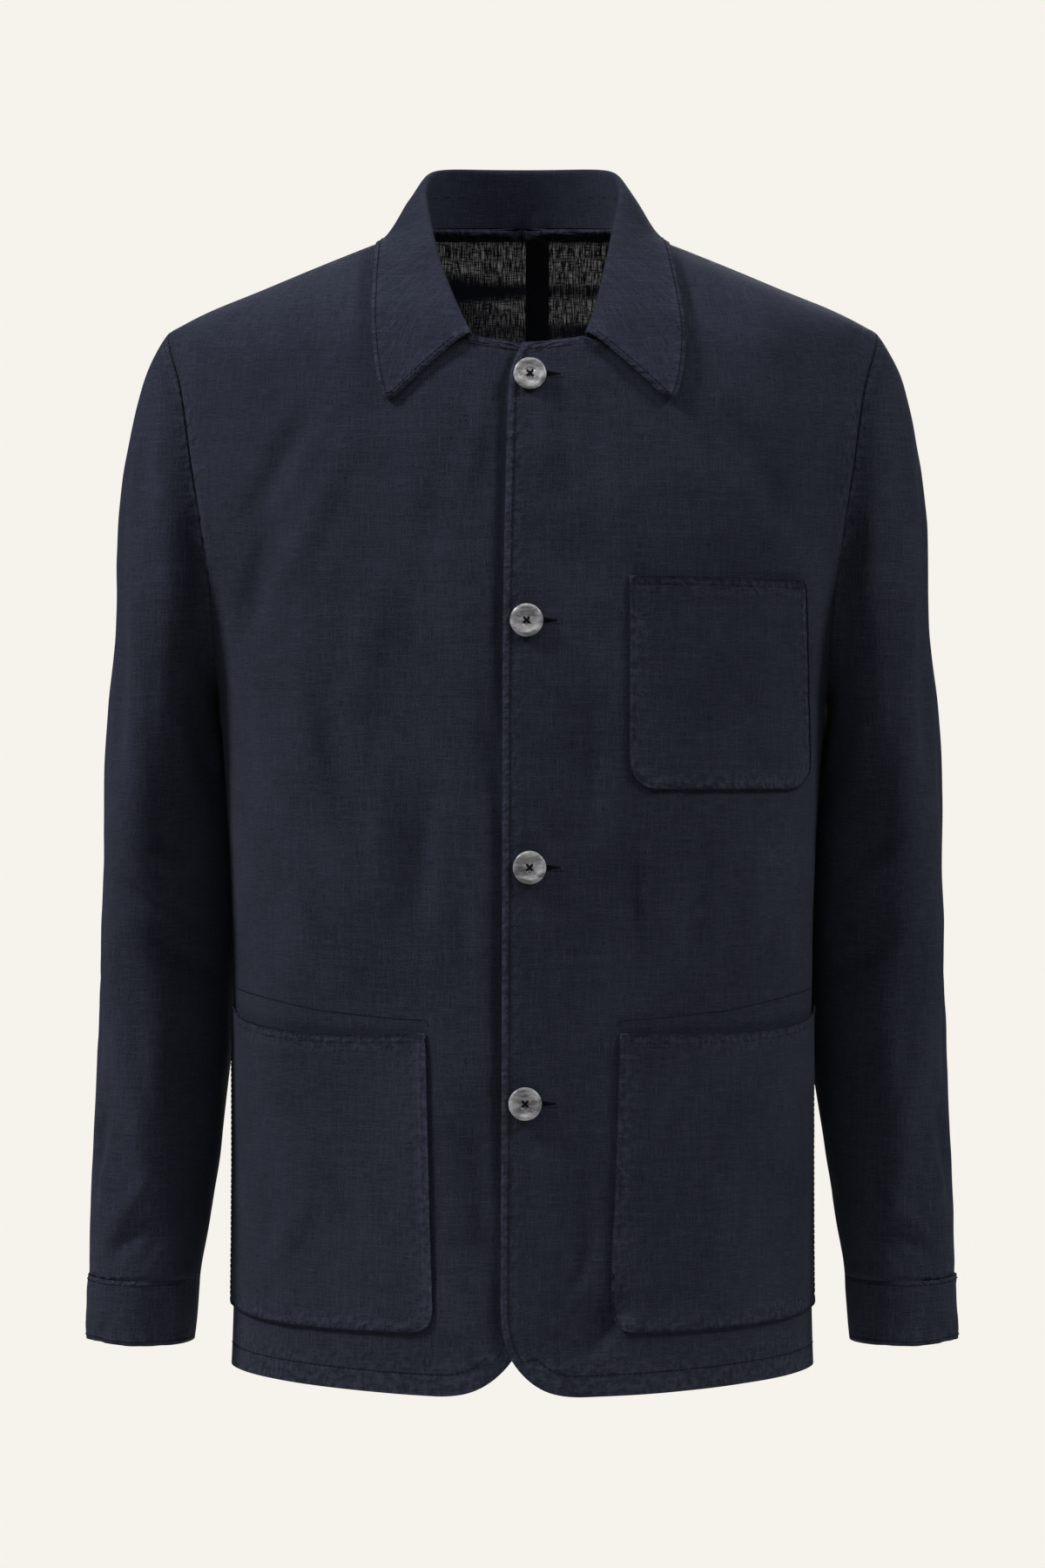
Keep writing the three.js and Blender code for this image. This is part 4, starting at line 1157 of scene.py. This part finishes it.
# %% [markdown]
# ## Buttons
#
# Each is turned from horn: a raised rim, a dish inside it, and four holes. One
# outline is spun, the holes are cut through it, and copies go where the solids
# have their buttons. The thread crosses between the holes as an X.
# %% Turn a button
OUTLINE = [  # millimetres from the middle, and forwards
    (0, 0.75),
    (4.6, 0.75),
    (6.4, 1.0),
    (7.2, 1.5),
    (8.2, 1.8),
    (9.2, 1.72),
    (9.9, 1.3),
    (10.3, 0.5),
    (10.0, -0.5),
    (8.9, -1.5),
    (7.1, -1.8),
    (0, -1.8),
]
HOLE_AWAY = 1.5  # of a hole's middle from the button's, both across and up
HOLE_RADIUS = 0.72
ROD = 0.01  # length of the rods that cut them
HOLES_WITHIN = 0.006  # metres from the button's middle
BUTTONS = ("button_1", "button_2", "button_3", "button_4")
HOLE_PLACES = [(i * HOLE_AWAY / 1000, j * HOLE_AWAY / 1000) for i in (-1, 1) for j in (-1, 1)]


def turned_button():
    """The button's outline, spun about its middle."""
    bm = bmesh.new()
    corners = [bm.verts.new((r / 1000, 0, z / 1000)) for r, z in OUTLINE]
    lines = [bm.edges.new(pair) for pair in zip(corners, corners[1:])]
    spun = {"cent": (0, 0, 0), "axis": (0, 0, 1), "angle": math.tau}
    bmesh.ops.spin(bm, geom=corners + lines, steps=64, use_merge=True, **spun)
    bmesh.ops.remove_doubles(bm, verts=bm.verts, dist=MERGE)
    bmesh.ops.recalc_face_normals(bm, faces=bm.faces)
    return new_piece("turned_button", mesh_from(bm, "turned_button"))


def drill():
    """Four rods, to cut the holes with."""
    bm = bmesh.new()
    for x, y in HOLE_PLACES:
        add_rod(bm, Matrix.Translation((x, y, 0)), 20, ROD, HOLE_RADIUS / 1000)
    return new_piece("drill", mesh_from(bm, "drill"))


blank = turned_button()
drills = drill()
cut = blank.modifiers.new("holes", "BOOLEAN")
cut.operation = "DIFFERENCE"
cut.solver = "EXACT"
cut.object = drills
bpy.context.view_layer.update()
drilled = blank.evaluated_get(bpy.context.evaluated_depsgraph_get())
button_mesh = bpy.data.meshes.new_from_object(drilled)
for polygon in button_mesh.polygons:
    in_hole = abs(polygon.normal.z) <= 0.2 and polygon.center.xy.length <= HOLES_WITHIN
    polygon.use_smooth = not in_hole
bpy.data.objects.remove(blank)
bpy.data.objects.remove(drills)
print("a button has", len(button_mesh.polygons), "faces")


# %% Sew the buttons on
def facing_of(mesh):
    """The way a button faces: the normal of its broad front."""
    broad = [p for p in mesh.polygons if p.normal.y < -0.8]
    return sum((p.area * p.normal for p in broad), Vector()).normalized()


def button_place(node):
    """Where a button sits, as a matrix whose Z is the way it faces."""
    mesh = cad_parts[node].data
    spans = [[v.co[k] for v in mesh.vertices] for k in range(3)]
    middle = Vector([(min(span) + max(span)) / 2 for span in spans])
    facing = facing_of(mesh)
    across = Vector((0, 0, 1)).cross(facing).normalized()
    turn = Matrix((across, facing.cross(across), facing)).transposed().to_4x4()
    turn.translation = body_moved(middle)
    return turn


STRAND = 0.00044  # radius of a strand
BESIDE = 0.00026  # each stitch is two strands, this far from its middle line
HORN_DARK = (0.075, 0.075, 0.081, 1)
HORN_LIGHT = (0.33, 0.33, 0.345, 1)
DISH = 0.0006  # the height of the dish that the strands lie on
LOW, HIGH = 0.3, 0.42  # how high the two stitches rise, so one lies on the other


def add_strand(bm, start, end, rise):
    """A thread from hole to hole, as half a ring laid flat."""
    away = end - start
    before = set(bm.verts)
    ring = bmesh.ops.create_circle(bm, segments=6, radius=STRAND)["verts"]
    bmesh.ops.translate(bm, verts=ring, vec=(away.length / 2, 0, 0))
    sides = list({e for v in ring for e in v.link_edges})
    half = {"cent": (0, 0, 0), "axis": (0, 1, 0), "angle": -math.pi}
    bmesh.ops.spin(bm, geom=ring + sides, steps=8, **half)
    made = [v for v in bm.verts if v not in before]
    bmesh.ops.scale(bm, verts=made, vec=(1, 1, rise))
    turn = Matrix.Rotation(math.atan2(away.y, away.x), 4, "Z")
    turn.translation = (start + end) / 2
    bmesh.ops.transform(bm, matrix=turn, verts=made)


def crossed_thread():
    """Two stitches that cross, from hole to hole."""
    bm = bmesh.new()
    away = HOLE_AWAY / 1000
    for sign, rise in ((-1, HIGH), (1, LOW)):
        for beside in (-BESIDE, BESIDE):
            shift = Vector((-sign, 1, 0)).normalized() * beside
            start = Vector((-away, -sign * away, DISH)) + shift
            end = Vector((away, sign * away, DISH)) + shift
            add_strand(bm, start, end, rise)
    return mesh_from(bm, "crossed_thread")


def horn():
    """Grey horn: dark and pale clouds drawn out along the grain, polished."""
    material, tree, shader = new_material("grey_horn", {"Roughness": 0.32})
    place = node_of(tree, "TexCoord", {})["Object"]
    clouds = ramp(tree, stretched_noise(tree, place, (90, 90, 240), 4, 0.6), 0.37, 0.64)
    flecks = ramp(tree, stretched_noise(tree, place, (700, 700, 2600)), 0.5, 0.8)
    tone = weighted(tree, (clouds, 1), (flecks, 0.3))
    tree.links.new(mixed(tree, tone, HORN_DARK, HORN_LIGHT), shader.inputs["Base Color"])
    return material


button_mesh.materials.clear()
button_mesh.materials.append(horn())
cross = crossed_thread()
black_thread = plain("button_thread", (0.003, 0.0034, 0.0055), 0.9)
for number, node in enumerate(BUTTONS, 1):
    place = button_place(node)
    mesh = button_mesh.copy()
    mesh.transform(place)
    button = new_piece(f"horn_button_{number}", mesh)
    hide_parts(node)
    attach(button, "root")
    strands = cross.copy()
    strands.transform(place)
    thread_piece(f"button_thread_{number}", strands, black_thread)
    print(node, "faces", [round(v, 2) for v in place.col[2].xyz])

# %% [markdown]
# Each button lies at the end of its buttonhole, and the rest of the hole shows
# beside it: a slit between two rows of close stitches, with a bar at the end.
# The open slit is a flat dark rod: painted shade.
# %% Work the buttonholes
# Sizes in millimetres.
HOLE_START = 6.0  # from the button's middle, hidden under it
HOLE_END = 19.0
HALF_HOLE = 0.3
WIDE_HOLE = 2.6  # half the width of the painted shade in the slit, where the button holds it open
BITE = 1.7  # how far a stitch runs out from the slit
CLOSE = 0.62  # from stitch to stitch
SLANT = 0.15
FAN = 8  # stitches round the hole's end, less one
BARS = (0.3, 0.8, 1.3, 1.8)  # threads of the bar, from the hole's end
HALF_BAR = 1.9
FINE_THREAD = 0.26
BAR_THREAD = 0.3
SLIT_FLAT = 0.35


def met_from_front(surface, x, z):
    """The place and the normal where cloth is met from the front."""
    return surface.ray_cast(Vector((x / 1000, -1, z / 1000)), Vector((0, 1, 0)))[:2]


def stitch_from_to(bm, surface, start, end, radius=FINE_THREAD, end_radius=None, flat=1):
    """A thread between two places given as x and z. flat is its share of height."""
    (a, normal), (b, _) = met_from_front(surface, *start), met_from_front(surface, *end)
    if a is None or b is None:
        return
    along = (b - a).normalized()
    side = normal.cross(along).normalized()
    turn = Matrix((along, side, side.cross(along))).transposed().to_4x4()
    turn.translation = (a + b) / 2 + normal * (radius / 1000 * 0.5 * flat)
    lying = Matrix.Diagonal((1, 1, flat, 1)) @ Matrix.Rotation(math.pi / 2, 4, "Y")
    end_radius = (end_radius or radius) / 1000
    add_rod(bm, turn @ lying, 6, (b - a).length, radius / 1000, end_radius)


def buttonhole(bm, surface, x, z):
    """Close stitches along both sides of a slit and round its end, and a bar."""
    start, end = x + HOLE_START, x + HOLE_END
    outer = HALF_HOLE + BITE
    for i in range(int((end - start) / CLOSE) + 1):
        at = start + i * CLOSE
        for side in (-1, 1):
            inner_end = (at, z + side * HALF_HOLE)
            stitch_from_to(bm, surface, inner_end, (at + SLANT, z + side * outer))
    for i in range(1, FAN):
        turn = math.pi * (i / FAN - 0.5)
        across, up = math.cos(turn), math.sin(turn)
        inner_end = (end + HALF_HOLE * across, z + HALF_HOLE * up)
        stitch_from_to(bm, surface, inner_end, (end + outer * across, z + outer * up))
    for away in BARS:
        ends = (end + away, z - HALF_BAR), (end + away, z + HALF_BAR)
        stitch_from_to(bm, surface, *ends, BAR_THREAD)


bm = bmesh.new()
slit_shade = bmesh.new()
front = surface_of("front_left")
for node in BUTTONS:
    middle = button_place(node).translation * 1000
    buttonhole(bm, front, middle.x, middle.z)
    ends = (middle.x + HOLE_START, middle.z), (middle.x + HOLE_END, middle.z)
    # a flat dark rod along the open slit: painted shade
    stitch_from_to(slit_shade, front, *ends, WIDE_HOLE, HALF_HOLE, SLIT_FLAT)
print(len(bm.faces), "faces of buttonhole stitches")
bar_thread = plain("buttonhole_thread", (0.02, 0.023, 0.036), 0.7)
shadow = plain("slit_shadow", (0.002, 0.002, 0.003), 1)
thread_piece("buttonhole_stitches", mesh_from(bm, "buttonhole_stitches"), bar_thread)
thread_piece("buttonhole_slit_shade", mesh_from(slit_shade, "buttonhole_slit_shade"), shadow)

# %% [markdown]
# ## The cut of the cloth
#
# Every piece of cloth was cut flat. Its flat width and length are given here in
# metres, with the area that is left after its curves are cut.
SHEETS = [
    # nodes, width, length, area, held
    (("front_left",), 0.285, 0.72, 0.186, "hung"),
    (("front_right",), 0.285, 0.72, 0.187, "hung"),
    (("back_left", "back_right"), 0.275, 0.73, 0.183, "hung"),
    (("sleeve_left", "sleeve_right"), 0.36, 0.605, 0.165, "hung"),
    (("cuff_left", "cuff_right"), 0.252, 0.043, 0.0107, "hung"),
    (("collar_band",), 0.38, 0.024, 0.007, "hung"),
    (("collar_leaf",), 0.45, 0.09, 0.0332, "folded"),
    (("chest_pocket",), 0.128, 0.14, 0.0175, "hung"),
    (("pocket_left", "pocket_right"), 0.19, 0.2, 0.037, "hung"),
    (("back_binding",), 0.017, 0.75, 0.0124, "hung"),
]
for nodes, width, length, area, held in SHEETS:
    for node in nodes:
        found = sum(p.area for p in cloth[node].data.polygons) / 2
        print(cloth[node].name, "has", round(found, 4), "square metres of", area)
